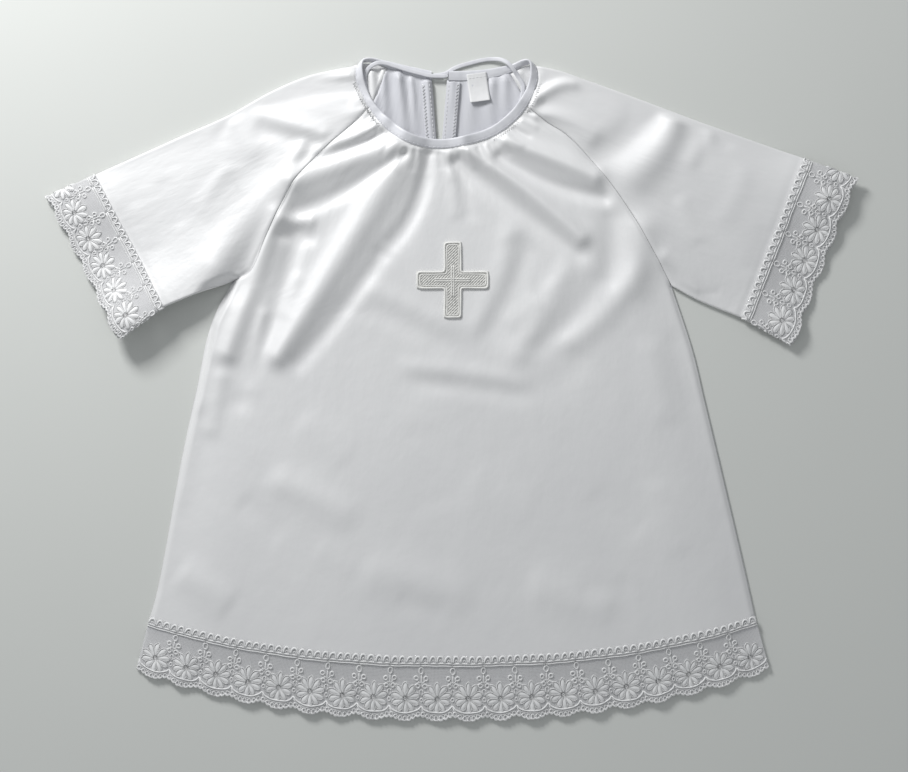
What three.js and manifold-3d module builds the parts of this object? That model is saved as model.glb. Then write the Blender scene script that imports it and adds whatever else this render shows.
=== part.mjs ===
// A child's christening shirt in white satin, laid flat on its back with the sleeves spread.
// The front lies over the back; raglan sleeves are flat tubes; lace runs round both cuffs and the
// hem; a folded tape binds the gathered neck and runs on into two ties; a cross is sewn on the chest.
//
// Millimetres. +Z is up, +Y runs from the hem to the neck, +X is to the right when the shirt is seen
// from above. The origin is under the middle of the shirt, on the surface that it lies on.
import * as THREE from "three";
import { mergeVertices } from "three/addons/utils/BufferGeometryUtils.js";
import Module from "manifold-3d";

// ---------------------------------------------------------------- driving dimensions

const WALL = 1.2; // satin
const LACE = 1.0; // lace and its net
const TAPE = 1.8; // folded neck tape
const SEAM = 0.3; // between pieces that are sewn together
const TAPE_SEAM = 0.4; // between the tape and the cloth that it binds
const LAYER_GAP = 0.5; // between front and back where they are closest
const FOLD_BULGE = 1.0; // how far a sleeve's folded edge rounds out past its line
const RAGLAN_NIP = 0.015; // clearance at a raglan's top, as a share of a row of the neck table
const PUFF = 3.2; // how far the front rises off the back, away from the edges
const PUFF_REACH = 24; // over this distance from an edge

const LACE_REPEAT = 21.6; // one flower of the lace
const SCALLOP = 4.5; // depth of the lace's scalloped edge
const RELIEF = 0.6; // raised embroidery on the lace
const GATHERS = 20; // puckers round the neck

const CROSS = { wide: 50, tall: 53, arm: 12, thick: 1.4, x: 1, y: 76.5, cell: 4.5, corner: 0.8 };
const LABEL = { top: [17.6, 221.5], bottom: [20.2, 202], wide: 14, thick: 1, lift: 2.75, curl: 0.7, rows: 6 };
const SLIT = {
  leftTop: [-14.2, 226],
  rightTop: [-2.3, 226],
  leftFoot: [-10, 172],
  rightFoot: [-6.8, 172],
  end: 158,
};
const FACING = { wide: 7.5, thick: 1, top: 215.6, foot: 150, rows: 8 };
const TIE = { wide: 3, thick: 1.4 };

const RAGLAN_STEPS = 11;
const NECK_STEPS = 5;
const SIDE_STEPS = 12;
const BODY_COLUMNS = 32;
const BACK_HALF_COLUMNS = 7; // to each side of the slit
const SLEEVE_ROWS = 10;
const LACE_COLUMNS = 4; // to a repeat
const TAPE_STATIONS = 54;
const TIE_STATIONS = 1.6; // to a point of its route

// Rows with named columns.
const table = (columns, rows) => {
  const names = columns.split(" ");
  return rows.map((row) => Object.fromEntries(names.map((name, i) => [name, row[i]])));
};

// ---------------------------------------------------------------- outline, seen from above

// Neck tape from the slit's left side, round the front, to its right side. Each row joins a point on
// the sewn edge to one on the free edge. base lifts the sewn edge off the layer that it is sewn to
// (front 1, back 0), and rise is how far the free edge stands above the sewn one.
const NECK = table("sewnX sewnY freeX freeY base rise front", [
  [-13.9, 216.8, -13.9, 223.4, 0, 0.1, 0],
  [-30, 220.8, -32, 227.2, 0, 0.2, 0],
  [-45, 225.4, -47, 230.4, 0, 1, 0],
  [-57, 228.4, -56.4, 231, 0.4, 3.4, 0.2],
  [-65.6, 227.2, -62.2, 229.6, 0, 4.4, 0.8],
  [-67.4, 218, -61.8, 218.6, 0.2, 2.8, 1],
  [-63.4, 208, -57.6, 206.2, 0, 1.4, 1],
  [-57.8, 197, -52, 197.6, 0, 1, 1],
  [-46.8, 183, -42.6, 188.2, 0, 0.8, 1],
  [-31, 172.2, -28.4, 178.2, 0, 0.8, 1],
  [-13, 168.3, -12, 174.9, 0, 0.8, 1],
  [5, 169.3, 5, 175.9, 0, 0.8, 1],
  [19, 172.7, 16.6, 179, 0, 0.8, 1],
  [33.4, 178.7, 29.6, 184.3, 0, 0.8, 1],
  [46.2, 189, 41, 193.6, 0, 1, 1],
  [53, 197.4, 47, 200.6, 0, 1, 1],
  [58.8, 210, 52.8, 210.6, 0, 1.4, 1],
  [61.2, 219.4, 55.6, 219.6, 0.2, 2.8, 1],
  [58.8, 227, 55.4, 229, 0, 4.4, 0.8],
  [51, 226, 50.4, 230, 0.4, 3.4, 0.2],
  [41.4, 221.8, 42.6, 227.8, 0, 1, 0],
  [25, 217.8, 25, 224.6, 0, 0.2, 0],
  [9.6, 216.4, 9, 223.4, 0.4, 0.1, 0],
  [-2.1, 216.3, -2.1, 223, 2, 0.1, 0],
]);
const ROWS = { backLeft: 2, cornerLeft: 4, frontLeft: 7, frontRight: 15, cornerRight: 18, backRight: 20 };

// Each side's seams and edges. A raglan runs from the neck to the underarm, the side seam from there
// to the hem, top and bottom from the body to the cuff. cuff gives the lace's two ends.
const LEFT = {
  frontRaglan: [
    [-57.8, 197], [-65, 189.3], [-86.3, 170.6], [-108.7, 146.6],
    [-128.6, 108.1], [-140.2, 83], [-153.5, 75.5],
  ],
  backRaglan: [[-45, 225.4], [-56, 199], [-82, 162], [-116, 120], [-140, 88], [-153.5, 75.5]],
  side: [[-153.5, 75.5], [-167.5, 48], [-179.4, -4], [-187.8, -42], [-206, -140], [-212.3, -163]],
  top: [[-65.6, 227.2], [-99, 219.5], [-127, 207.5], [-156.3, 191], [-190, 176], [-248, 149.4]],
  bottom: [[-153.5, 75.5], [-172.4, 69.5], [-199, 58.6]],
  cuff: {
    headTop: [-248.4, 149.6],
    headBottom: [-199.2, 58.2],
    tipTop: [-283.6, 133.8],
    tipBottom: [-231.8, 34.4],
  },
};
const RIGHT = {
  frontRaglan: [
    [53, 197.4], [66.3, 187], [80.3, 178.1], [103.4, 154],
    [123.3, 127.3], [141.9, 95.9], [154.5, 72.5],
  ],
  backRaglan: [[41.4, 221.8], [54, 200], [82, 162], [112, 122], [138, 90], [154.5, 72.5]],
  side: [[154.5, 72.5], [169.2, 27.6], [177.6, -7.3], [186, -42.3], [204.2, -119.3], [214, -163]],
  top: [[58.8, 227], [76, 223], [96.4, 215.5], [137, 200.5], [174.1, 186.5], [245, 161]],
  bottom: [[154.5, 72.5], [174.8, 62.5], [202.6, 51.6]],
  cuff: {
    headTop: [245.3, 160.8],
    headBottom: [202.9, 51.3],
    tipTop: [283.7, 146.4],
    tipBottom: [239.6, 30.8],
  },
};

// The hem sags between its two corners: at its header and at the lace's scalloped edge.
const HEM = { headY: -163, headSag: 27.8, tipX: [-221.4, 223.4], tipY: -197, tipSag: 35.4, flatness: 2.3 };

// Ties: each leaves one end of the tape at the slit, crosses to the other side and ends inside.
const TIE_TO_RIGHT = table("x y z", [
  [-13.5, 220.2, 0.95],
  [-8, 220.6, 0.85],
  [-3, 222, 0.8],
  [1.5, 224.9, 0.8],
  [7, 227.1, 0.8],
  [13.1, 228.8, 0.8],
  [21, 230.8, 0.9],
  [28.5, 231.6, 1.5],
  [35, 230.8, 3.4],
  [39.7, 228.2, 4.6],
  [43.2, 224.2, 4.4],
  [46.6, 219.4, 2.9],
  [50, 213.3, 2.3],
  [49.6, 205, 2.25],
  [47, 196, 2.3],
  [43, 188, 2.4],
]);
const TIE_TO_LEFT = table("x y z", [
  [-2.5, 219.6, 2.9],
  [-8, 219.4, 3.1],
  [-14.5, 219.7, 3.25],
  [-22, 221.4, 3.2],
  [-31, 223.8, 3.3],
  [-39.4, 226.4, 3.6],
  [-47.2, 228.5, 4.1],
  [-53, 227.9, 4.8],
  [-58, 224.6, 3.7],
  [-60.4, 220, 2.6],
  [-60.4, 213.5, 2.3],
  [-59, 206, 2.25],
  [-57, 198, 2.3],
  [-52.5, 190, 2.4],
]);

// ---------------------------------------------------------------- lie of the cloth

// Where a sleeve or its lace is off the surface: from one point to another, reach to each side, height.
const LIFTS = table("x0 y0 x1 y1 reach h0 h1", [
  [-160, 72, -220, 46, 30, 7, 11], // left sleeve's lower edge
  [-240, 140, -262, 132, 24, 3, 3.6], // left cuff's upper corner
  [262, 155, 270, 140, 26, 5.4, 6], // right cuff's upper corner
  [222, 44, 238, 36, 22, 3.2, 3.6], // right cuff's lower corner
]);

// Folds and swells of the upper layer: ridges where the height is positive, valleys where it is
// negative. bow is how far the line bends to its left at the middle; reach is its half width.
const FOLDS = table("x0 y0 x1 y1 bow reach0 reach1 h0 h1", [
  [-36, 165, -122, 28, -9, 7, 15, 3.4, 4], // long fold, neck to the left side
  [-20, 163, -100, 24, -14, 5, 16, -2.4, -2], // valley under it
  [-38, 170, -104, 143, 5, 4.5, 7, 3, 2.6],
  [-42, 160, -106, 131, 5, 4, 7, -2.4, -2.2],
  [-52, 186, -84, 172, 2, 3.6, 4, 2.2, 1.6],
  [-55, 181, -98, 158, 3, 3, 3.4, -1.6, -1.2],
  [-118, 118, -128, 60, 4, 9, 8, -2.4, -2.2], // hollow by the left raglan
  [-150, 52, -178, -52, -3, 10, 13, 3.2, 1.6], // along the left side
  [-136, 66, -163, -24, -4, 8, 10, -2.6, -1.6],
  [-128, 58, -142, 2, 0, 7, 10, 2, 1.6],
  [36, 171, 116, 134, 6, 4.5, 7, 3, 2.6], // neck to the right raglan
  [34, 164, 112, 128, 5, 4, 5.5, -2.6, -2.4],
  [20, 166, 106, 96, 6, 6, 10, 3, 2.6],
  [12, 160, 96, 92, 3, 5.5, 9, -2.6, -2.4],
  [114, 124, 107, 72, 0, 9, 10, -2.4, -2.2], // hollow by the right raglan
  [126, 104, 124, 62, 0, 10, 12, 1.8, 1.6],
  [-32, 17, 52, 12, 1, 6, 6, 1.5, 1.5], // short cross folds below the chest
  [-30, 5, 50, 1, 1, 7, 7, -1, -1],
  [-124, -64, -74, -88, 1, 8, 8, 2, 1.4],
  [84, 62, 52, 30, 0, 9, 10, 1.4, 1.4],
  [112, 50, 82, 12, 0, 11, 12, 1.6, 1],
  [-60, -128, 10, -146, 2, 14, 16, 1.2, 1.4], // swells above the hem
  [60, -136, 110, -150, -4, 14, 14, 1.4, 1],
  [-190, -128, -158, -152, 2, 12, 13, 1.4, 1.2],
  [-77, 209, -124, 212, 3, 5, 8, -2, -1.4], // left sleeve
  [-68, 222, -106, 216, 2, 5, 6, 2, 1.2],
  [-150, 186, -140, 168, 0, 7, 8, 1.4, 1],
  [-168, 84, -120, 140, 4, 18, 16, 2.6, 2.2],
  [56, 199, 84, 216, 4, 4, 6, 3, 3.4], // right sleeve
  [62, 211, 82, 220, 2, 5, 5, -2, -2],
  [60, 192, 98, 178, 4, 5, 8, 1.8, 1.2],
  [153, 192, 128, 152, 5, 9, 12, 3.2, 2.4],
  [136, 199, 104, 164, 4, 8, 10, -2.4, -2],
  [182, 180, 168, 160, 0, 6, 8, 1.6, 1],
  [150, 92, 172, 66, 2, 6, 6, 2, 2],
]);

// The puckers' middle, the neckline's half widths, and how far and how high they reach.
const PUCKERS = { x: -3.5, y: 207, acrossX: 62, acrossY: 38, reach: 0.3, height: 1.4 };
const FOLD_CLEAR = 10; // folds fade out over this distance from an edge
const SOFTNESS = 1.1; // how gently a valley meets the layer below

const clamp01 = (v) => Math.min(1, Math.max(0, v));
const lerp = (a, b, t) => a + (b - a) * t;
const mix = (p, q, t) => p.map((v, i) => lerp(v, q[i], t));
const smooth = (t) => clamp01(t) ** 2 * (3 - 2 * clamp01(t));
const softplus = (v) => SOFTNESS * Math.log(1 + Math.exp(v / SOFTNESS));
const steps = (count) => Array.from({ length: count + 1 }, (_, i) => i / count);

// What one row of a table adds at a point: a bell across its line that fades past its ends.
const bell = ({ x0, y0, x1, y1, h0, h1, bow = 0, reach, reach0 = reach, reach1 = reach }, x, y) => {
  const [dx, dy] = [x1 - x0, y1 - y0];
  const long = Math.hypot(dx, dy);
  const s = clamp01(((x - x0) * dx + (y - y0) * dy) / long ** 2);
  const side = (bow * 4 * s * (1 - s)) / long;
  const away = Math.hypot(x - x0 - dx * s + dy * side, y - y0 - dy * s - dx * side);
  return lerp(h0, h1, s) * Math.exp(-((away / lerp(reach0, reach1, s)) ** 2));
};
const bells = (rows, x, y) => rows.reduce((total, row) => total + bell(row, x, y), 0);

// Edges where the upper layer comes down to the lower one. A side seam goes on down past the hem.
const PAST_HEM = 40;
const closedEdges = [LEFT, RIGHT].flatMap(({ top, bottom, side, cuff }) => {
  const [above, corner] = side.slice(-2);
  const slant = (corner[0] - above[0]) / (corner[1] - above[1]);
  return [
    [...top, cuff.tipTop],
    [...bottom, cuff.tipBottom],
    [...side, [corner[0] - slant * PAST_HEM, corner[1] - PAST_HEM]],
  ];
});
const toSegment = (x, y, [ax, ay], [bx, by]) => {
  const [dx, dy] = [bx - ax, by - ay];
  const s = clamp01(((x - ax) * dx + (y - ay) * dy) / (dx * dx + dy * dy));
  return Math.hypot(x - ax - dx * s, y - ay - dy * s);
};
const toEdge = (x, y) =>
  Math.min(...closedEdges.flatMap((line) => line.slice(1).map((b, i) => toSegment(x, y, line[i], b))));

// Puckers: a wave in the angle about the neck's middle that dies away from the tape.
const pucker = (x, y) => {
  const [px, py] = [(x - PUCKERS.x) / PUCKERS.acrossX, (y - PUCKERS.y) / PUCKERS.acrossY];
  const out = Math.max(0, Math.hypot(px, py) - 1) / PUCKERS.reach;
  return PUCKERS.height * Math.cos(GATHERS * Math.atan2(py, px)) * Math.exp(-out * out);
};

// Space between the layers beyond LAYER_GAP. It is nothing at a closed edge and never negative.
const space = (x, y, puckered = true) => {
  const edge = toEdge(x, y);
  const puff = PUFF * (1 - Math.exp(-((edge / PUFF_REACH) ** 2)));
  const folds = bells(FOLDS, x, y) + (puckered ? pucker(x, y) : 0);
  const folded = puff + smooth(edge / FOLD_CLEAR) * folds;
  return Math.max(0, softplus(folded) - softplus(0) * Math.exp(-puff));
};
const frontInside = (x, y) => WALL + LAYER_GAP + space(x, y);
const frontOutside = (x, y) => frontInside(x, y) + WALL;

// ---------------------------------------------------------------- lines and grids of points

const spline = (points) => {
  const line = new THREE.CatmullRomCurve3(points.map(([x, y, z = 0]) => new THREE.Vector3(x, y, z)));
  line.arcLengthDivisions = 400;
  return line;
};
const along = (points, fractions) => {
  const line = spline(points);
  return fractions.map((t) => line.getPointAt(t).toArray().slice(0, points[0].length));
};

// Moves an open line in the plan to its left, or to its right for a negative distance.
const moveSideways = (points, distance) =>
  points.map(([x, y], i) => {
    const [ax, ay] = points[Math.max(0, i - 1)];
    const [bx, by] = points[Math.min(points.length - 1, i + 1)];
    const long = Math.hypot(bx - ax, by - ay);
    return [x - ((by - ay) / long) * distance, y + ((bx - ax) / long) * distance];
  });

// The point at a fraction of the way through a line's list of points.
const through = (points, t) => {
  const place = clamp01(t) * (points.length - 1);
  const i = Math.min(points.length - 2, Math.floor(place));
  return mix(points[i], points[i + 1], place - i);
};

const fractionsOf = (points) => {
  const runs = [0];
  points.slice(1).forEach(([x, y], i) => {
    runs.push(runs[i] + Math.hypot(x - points[i][0], y - points[i][1]));
  });
  return runs.map((run) => run / runs.at(-1));
};

// Fills the plan between four lines whose ends meet: rows go from top to bottom, columns from left
// to right. Each point is the two straight blends added, less the blend of the corners.
const fill = (left, right, top, bottom) => {
  const [leftPlaces, rightPlaces] = [fractionsOf(left), fractionsOf(right)];
  return left.map((_, i) => {
    const v = (leftPlaces[i] + rightPlaces[i]) / 2;
    return top.map((_, j) => {
      const u = j / (top.length - 1);
      const across = mix(left[i], right[i], u);
      const down = mix(top[j], bottom[j], v);
      const corners = mix(mix(top[0], top.at(-1), u), mix(bottom[0], bottom.at(-1), u), v);
      return across.map((value, axis) => value + down[axis] - corners[axis]);
    });
  });
};

const sewnLine = spline(NECK.map(({ sewnX, sewnY }) => [sewnX, sewnY]));
const sewnAt = (row) => sewnLine.getPoint(row / (NECK.length - 1)).toArray().slice(0, 2);
const sewnBetween = (from, to, count) => steps(count).map((t) => sewnAt(lerp(from, to, t)));

// ---------------------------------------------------------------- solids

// A closed solid from its points and faces, turned right side out.
const solid = (points, faces) => {
  const volume = faces.reduce((total, [a, b, c]) => {
    const [p, q, r] = [points[a], points[b], points[c]].map((point) => new THREE.Vector3(...point));
    return total + p.dot(q.cross(r));
  }, 0);
  const made = new THREE.BufferGeometry();
  made.setAttribute("position", new THREE.BufferAttribute(new Float32Array(points.flat()), 3));
  made.setIndex(faces.flatMap((face) => (volume < 0 ? face.toReversed() : face)));
  return made;
};

// A wall between two grids of points that have the same rows and columns. A ring's rows close up.
const wall = (outer, inner, ring = false) => {
  const [rows, columns] = [outer.length, outer[0].length];
  const at = (layer, i, j) => (layer * rows + i) * columns + (j % columns);
  const faces = [];
  const quad = (a, b, c, d) => faces.push([a, b, c], [a, c, d]);
  const last = ring ? columns : columns - 1;
  for (let i = 0; i + 1 < rows; i += 1)
    for (let j = 0; j < last; j += 1) {
      quad(at(0, i, j), at(0, i, j + 1), at(0, i + 1, j + 1), at(0, i + 1, j));
      quad(at(1, i, j), at(1, i + 1, j), at(1, i + 1, j + 1), at(1, i, j + 1));
    }
  for (let j = 0; j < last; j += 1) {
    quad(at(0, 0, j + 1), at(0, 0, j), at(1, 0, j), at(1, 0, j + 1));
    quad(at(0, rows - 1, j), at(0, rows - 1, j + 1), at(1, rows - 1, j + 1), at(1, rows - 1, j));
  }
  for (let i = 0; !ring && i + 1 < rows; i += 1) {
    quad(at(0, i, 0), at(0, i + 1, 0), at(1, i + 1, 0), at(1, i, 0));
    quad(at(0, i + 1, last), at(0, i, last), at(1, i, last), at(1, i + 1, last));
  }
  return solid([...outer.flat(), ...inner.flat()], faces);
};

// A sheet over a grid in the plan, between two heights that are worked out at each of its points.
const sheet = (grid, high, low) => {
  const raise = (height) => grid.map((row, i) => row.map(([x, y], j) => [x, y, height(x, y, i, j)]));
  return wall(raise(high), raise(low));
};

// A flat tube with its two layers over two grids that share their first and last columns. Heights
// are for the upper layer's two faces; the lower layer lies on lift, with the wall's thickness.
const FOLD_WALL = 1.1; // the wall at a fold, as a multiple of its thickness
const BULGE_ROWS = 3; // a fold rounds out fully over this many rows from the tube's first end
const flatTube = ({ upper, lower, outside, inside, lift, thick }) => {
  const shrink = (row) => {
    const across = Math.hypot(row.at(-1)[0] - row[0][0], row.at(-1)[1] - row[0][1]);
    const margin = (thick * FOLD_WALL) / across;
    return row.map((_, j) => through(row, lerp(margin, 1 - margin, j / (row.length - 1))));
  };
  const ringAt = (i, over, under, high, low, bulge) => {
    const heights = ([x, y], j) => high(x, y, i, j) + lift(x, y, i);
    const [first, last] = [over[0], over.at(-1)];
    const long = Math.hypot(last[0] - first[0], last[1] - first[1]);
    const out = [((last[0] - first[0]) / long) * bulge, ((last[1] - first[1]) / long) * bulge];
    const fold = ([x, y], j, sign) => {
      const middle = (heights([x, y], j) + low + lift(x, y, i)) / 2;
      return [x + sign * out[0], y + sign * out[1], middle];
    };
    return [
      ...over.map((point, j) => [...point, heights(point, j)]),
      fold(last, over.length - 1, 1),
      ...under.map(([x, y]) => [x, y, low + lift(x, y, i)]).toReversed(),
      fold(first, 0, -1),
    ];
  };
  const outerRings = upper.map((row, i) => {
    const bulge = FOLD_BULGE * smooth(i / BULGE_ROWS);
    return ringAt(i, row, lower[i], outside, 0, bulge);
  });
  const innerRings = upper.map((row, i) => ringAt(i, shrink(row), shrink(lower[i]), inside, thick, 0));
  return wall(outerRings, innerRings, true);
};

// A closed bar along a list of sections that have the same number of points.
const bar = (sections) => {
  const count = sections[0].length;
  const faces = [];
  for (let i = 0; i + 1 < sections.length; i += 1)
    for (let j = 0; j < count; j += 1) {
      const [a, b] = [i * count + j, i * count + ((j + 1) % count)];
      faces.push([a, b, b + count], [a, b + count, a + count]);
    }
  const end = (sections.length - 1) * count;
  for (let j = 1; j + 1 < count; j += 1) faces.push([0, j + 1, j], [end, end + j, end + j + 1]);
  return solid(sections.flat(), faces);
};

const wasm = await Module();
wasm.setup();
const toManifold = (geometry) => {
  geometry.deleteAttribute("normal");
  geometry.deleteAttribute("uv");
  const merged = mergeVertices(geometry, 1e-4);
  const vertProperties = new Float32Array(merged.attributes.position.array);
  return new wasm.Manifold(
    new wasm.Mesh({ numProp: 3, vertProperties, triVerts: new Uint32Array(merged.index.array) }),
  );
};
const fromManifold = (shape) => {
  const { vertProperties, triVerts } = shape.getMesh();
  const made = new THREE.BufferGeometry();
  made.setAttribute("position", new THREE.BufferAttribute(new Float32Array(vertProperties), 3));
  made.setIndex([...triVerts]);
  return made;
};
const PRISM = { low: -20, high: 60 };
const prism = (outline) => {
  const shape = new THREE.Shape(outline.map(([x, y]) => new THREE.Vector2(x, y)));
  const made = new THREE.ExtrudeGeometry(shape, { depth: PRISM.high - PRISM.low, bevelEnabled: false });
  return toManifold(made.translate(0, 0, PRISM.low));
};

// ---------------------------------------------------------------- body

// Raglan stations crowd towards the neck, where the puckers are.
const CROWDING = 1.35;
const raglanSteps = steps(RAGLAN_STEPS).map((t) => t ** CROWDING);
const sideSteps = steps(SIDE_STEPS).slice(1);
const raglanLine = (raglan, gap) => moveSideways(along(raglan, raglanSteps), gap);

const bodyEdge = (raglan, side, gap) => [
  ...raglanLine(raglan, gap),
  ...moveSideways(along(side, [0, ...sideSteps]), gap).slice(1),
];
const hemSag = (x, halfWidth) => 1 - Math.abs(x / halfWidth) ** HEM.flatness;
const hemHead = (count, gap) =>
  steps(count).map((t) => {
    const x = lerp(LEFT.side.at(-1)[0], RIGHT.side.at(-1)[0], t);
    return [x, HEM.headY + gap - HEM.headSag * hemSag(x, RIGHT.side.at(-1)[0])];
  });

// A panel's plan: the ends of its seams are pulled to the ends of its neckline and hem.
const panel = (raglan, neckline) => {
  const hem = hemHead(neckline.length - 1, SEAM / 2);
  const pulled = (edge, top, foot) => [top, ...edge.slice(1, -1), foot];
  return fill(
    pulled(bodyEdge(LEFT[raglan], LEFT.side, SEAM / 2), neckline[0], hem[0]),
    pulled(bodyEdge(RIGHT[raglan], RIGHT.side, -SEAM / 2), neckline.at(-1), hem.at(-1)),
    neckline,
    hem,
  );
};

const makeFront = () => {
  const { frontLeft, frontRight } = ROWS;
  const neckline = sewnBetween(frontLeft + RAGLAN_NIP, frontRight - RAGLAN_NIP, BODY_COLUMNS);
  const grid = panel("frontRaglan", moveSideways(neckline, -TAPE_SEAM));
  return { grid, geometry: sheet(grid, frontOutside, frontInside) };
};

const makeBack = () => {
  const { backLeft, backRight } = ROWS;
  const neckline = [
    ...sewnBetween(backLeft - RAGLAN_NIP, 0, BACK_HALF_COLUMNS),
    ...sewnBetween(NECK.length - 1, backRight + RAGLAN_NIP, BACK_HALF_COLUMNS),
  ];
  const grid = panel("backRaglan", moveSideways(neckline, -TAPE_SEAM));
  const { leftTop, rightTop, leftFoot, rightFoot, end } = SLIT;
  const tip = [(leftFoot[0] + rightFoot[0]) / 2, end];
  const cut = prism([leftTop, leftFoot, tip, rightFoot, rightTop]);
  const cloth = toManifold(sheet(grid, () => WALL, () => 0));
  return fromManifold(cloth.subtract(cut));
};

// A strip of folded satin on the inside of the back, along one side of the slit.
const makeFacing = (top, foot, outward) => {
  const rows = steps(FACING.rows).map((t) => {
    const y = lerp(FACING.top, FACING.foot, t);
    const edge = lerp(top[0], foot[0], clamp01((top[1] - y) / (top[1] - foot[1])));
    const x = edge + outward * SEAM;
    return [[x, y], [x + outward * FACING.wide, y]];
  });
  const low = WALL + SEAM;
  return sheet(rows, () => low + FACING.thick, () => low);
};

// ---------------------------------------------------------------- sleeves and their lace

const sleeveColumns = RAGLAN_STEPS + NECK_STEPS;
const cuffEnd = (count, { top, bottom }) => steps(count).map((t) => mix(bottom.at(-1), top.at(-1), t));

// hand is 1 for the left sleeve and -1 for the right one, whose lines run the other way round.
const LIFTED_FROM = 0.62; // a sleeve is fully off the surface from this share of its length on
const makeSleeve = (side, hand, neck) => {
  const rowSteps = steps(SLEEVE_ROWS);
  const layer = (raglan, from, to) => {
    const bodyEnd = [
      ...raglanLine(raglan, (-hand * SEAM) / 2).toReversed().slice(0, -1),
      ...moveSideways(sewnBetween(from, to, NECK_STEPS), hand * TAPE_SEAM),
    ];
    const [bottom, top] = [along(side.bottom, rowSteps), along(side.top, rowSteps)];
    const columns = fill(bodyEnd, cuffEnd(sleeveColumns, side), bottom, top);
    return rowSteps.map((_, j) => columns.map((column) => column[j]));
  };
  const upper = layer(side.frontRaglan, neck.front - hand * RAGLAN_NIP, neck.corner);
  const lower = layer(side.backRaglan, neck.back + hand * RAGLAN_NIP, neck.corner);
  const lift = (x, y, i) => bells(LIFTS, x, y) * smooth(i / (LIFTED_FROM * SLEEVE_ROWS));
  return flatTube({ upper, lower, outside: frontOutside, inside: frontInside, lift, thick: WALL });
};

// The lace's rows, from its header to its scallops: how far down it each one is, the relief there,
// and whether the relief is on the whole width or only on the flowers.
const LACE_ROWS = table("down relief flower", [
  [0, 1, 0],
  [0.15, 1, 0],
  [0.2, 0, 0],
  [0.6, 1, 1],
  [0.82, 1, 0],
  [1, 0.8, 0],
]);
const SETTLE = 0.75; // the space between the layers closes by this much down the lace
const flowerBump = (phase) => 0.5 - 0.5 * Math.cos(2 * Math.PI * phase);
const relief = ({ relief: height, flower }, phase) => RELIEF * height * (flower ? flowerBump(phase) : 1);

// Pulls the lace's last rows back between its scallops.
const scallop = (head, tip, down, phase) => {
  const long = Math.hypot(tip[0] - head[0], tip[1] - head[1]);
  const back = (SCALLOP * (1 - flowerBump(phase)) * down ** 6) / long;
  return mix(head, tip, down - back);
};
const laceGrid = (heads, tips, repeats, rows, shift = 0.5) =>
  rows.map(({ down }) =>
    heads.map((head, j) => scallop(head, tips[j], down, shift + (repeats * j) / (heads.length - 1))),
  );
const laceInside = (down, x, y) => LACE + LAYER_GAP + space(x, y) * (1 - SETTLE * down);

const makeCuffLace = ({ cuff: { headTop, headBottom, tipTop, tipBottom } }) => {
  const wide = Math.hypot(headTop[0] - headBottom[0], headTop[1] - headBottom[1]);
  const repeats = Math.round(wide / LACE_REPEAT);
  const places = steps(repeats * LACE_COLUMNS);
  const heads = places.map((t) => mix(headBottom, headTop, t));
  const tips = places.map((t) => mix(tipBottom, tipTop, t));
  const grid = laceGrid(heads, tips, repeats, LACE_ROWS);
  const inside = (x, y, i) => laceInside(LACE_ROWS[i].down, x, y);
  const outside = (x, y, i, j) => inside(x, y, i) + LACE + relief(LACE_ROWS[i], 0.5 + j / LACE_COLUMNS);
  const lift = (x, y) => bells(LIFTS, x, y);
  return flatTube({ upper: grid, lower: grid, outside, inside, lift, thick: LACE });
};

const hemRepeats = Math.round((RIGHT.side.at(-1)[0] - LEFT.side.at(-1)[0]) / LACE_REPEAT);
const hemColumns = hemRepeats * LACE_COLUMNS;
const hemTips = steps(hemColumns).map((t) => {
  const x = lerp(...HEM.tipX, t);
  return [x, HEM.tipY - HEM.tipSag * hemSag(x, HEM.tipX[1])];
});
const makeHemLaceFront = () => {
  const grid = laceGrid(hemHead(hemColumns, -SEAM / 2), hemTips, hemRepeats, LACE_ROWS);
  const inside = (x, y, i) => laceInside(LACE_ROWS[i].down, x, y);
  const outside = (x, y, i, j) => inside(x, y, i) + LACE + relief(LACE_ROWS[i], 0.5 + j / LACE_COLUMNS);
  return sheet(grid, outside, inside);
};
const makeHemLaceBack = () => {
  const rows = [LACE_ROWS[0], ...LACE_ROWS.slice(-2)];
  const grid = laceGrid(hemHead(hemColumns, -SEAM / 2), hemTips, hemRepeats, rows, 0);
  return sheet(grid, () => LACE, () => 0);
};

// ---------------------------------------------------------------- neck tape, ties, label and cross

// The tape's section between its sewn edge (across 0) and its folded free edge (across 1). At each
// end of the neck the tape turns over, so its thickness points down at the back and up at the front.
const TAPE_SECTION = table("across up", [
  [0, -0.35],
  [0.08, -0.5],
  [0.9, -0.5],
  [1, -0.2],
  [1, 0.2],
  [0.9, 0.5],
  [0.08, 0.5],
  [0, 0.35],
]);
const TAPE_SINK = 0.1; // how far the tape's underside is below the inside of the front
const makeTape = () => {
  const freeLine = spline(NECK.map(({ freeX, freeY }) => [freeX, freeY]));
  const heights = NECK.map(({ base, rise, front }) => [base, rise, front]);
  const sections = steps(TAPE_STATIONS).map((t) => {
    const [base, rise, front] = through(heights, t);
    const sewn = sewnLine.getPoint(t);
    const onFront = LAYER_GAP + WALL + space(sewn.x, sewn.y, false) - TAPE_SINK;
    sewn.z = base + front * onFront + TAPE / 2;
    const across = freeLine.getPoint(t).sub(sewn).setZ(rise);
    const out = sewnLine.getTangent(t).cross(across).normalize();
    const inwards = across.clone().setZ(0).setLength((TAPE / 2 + TAPE_SEAM) * Math.hypot(out.x, out.y));
    return TAPE_SECTION.map(({ across: reach, up }) =>
      sewn.clone().add(inwards).addScaledVector(across, reach).addScaledVector(out, TAPE * up).toArray(),
    );
  });
  return bar(sections);
};

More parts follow.
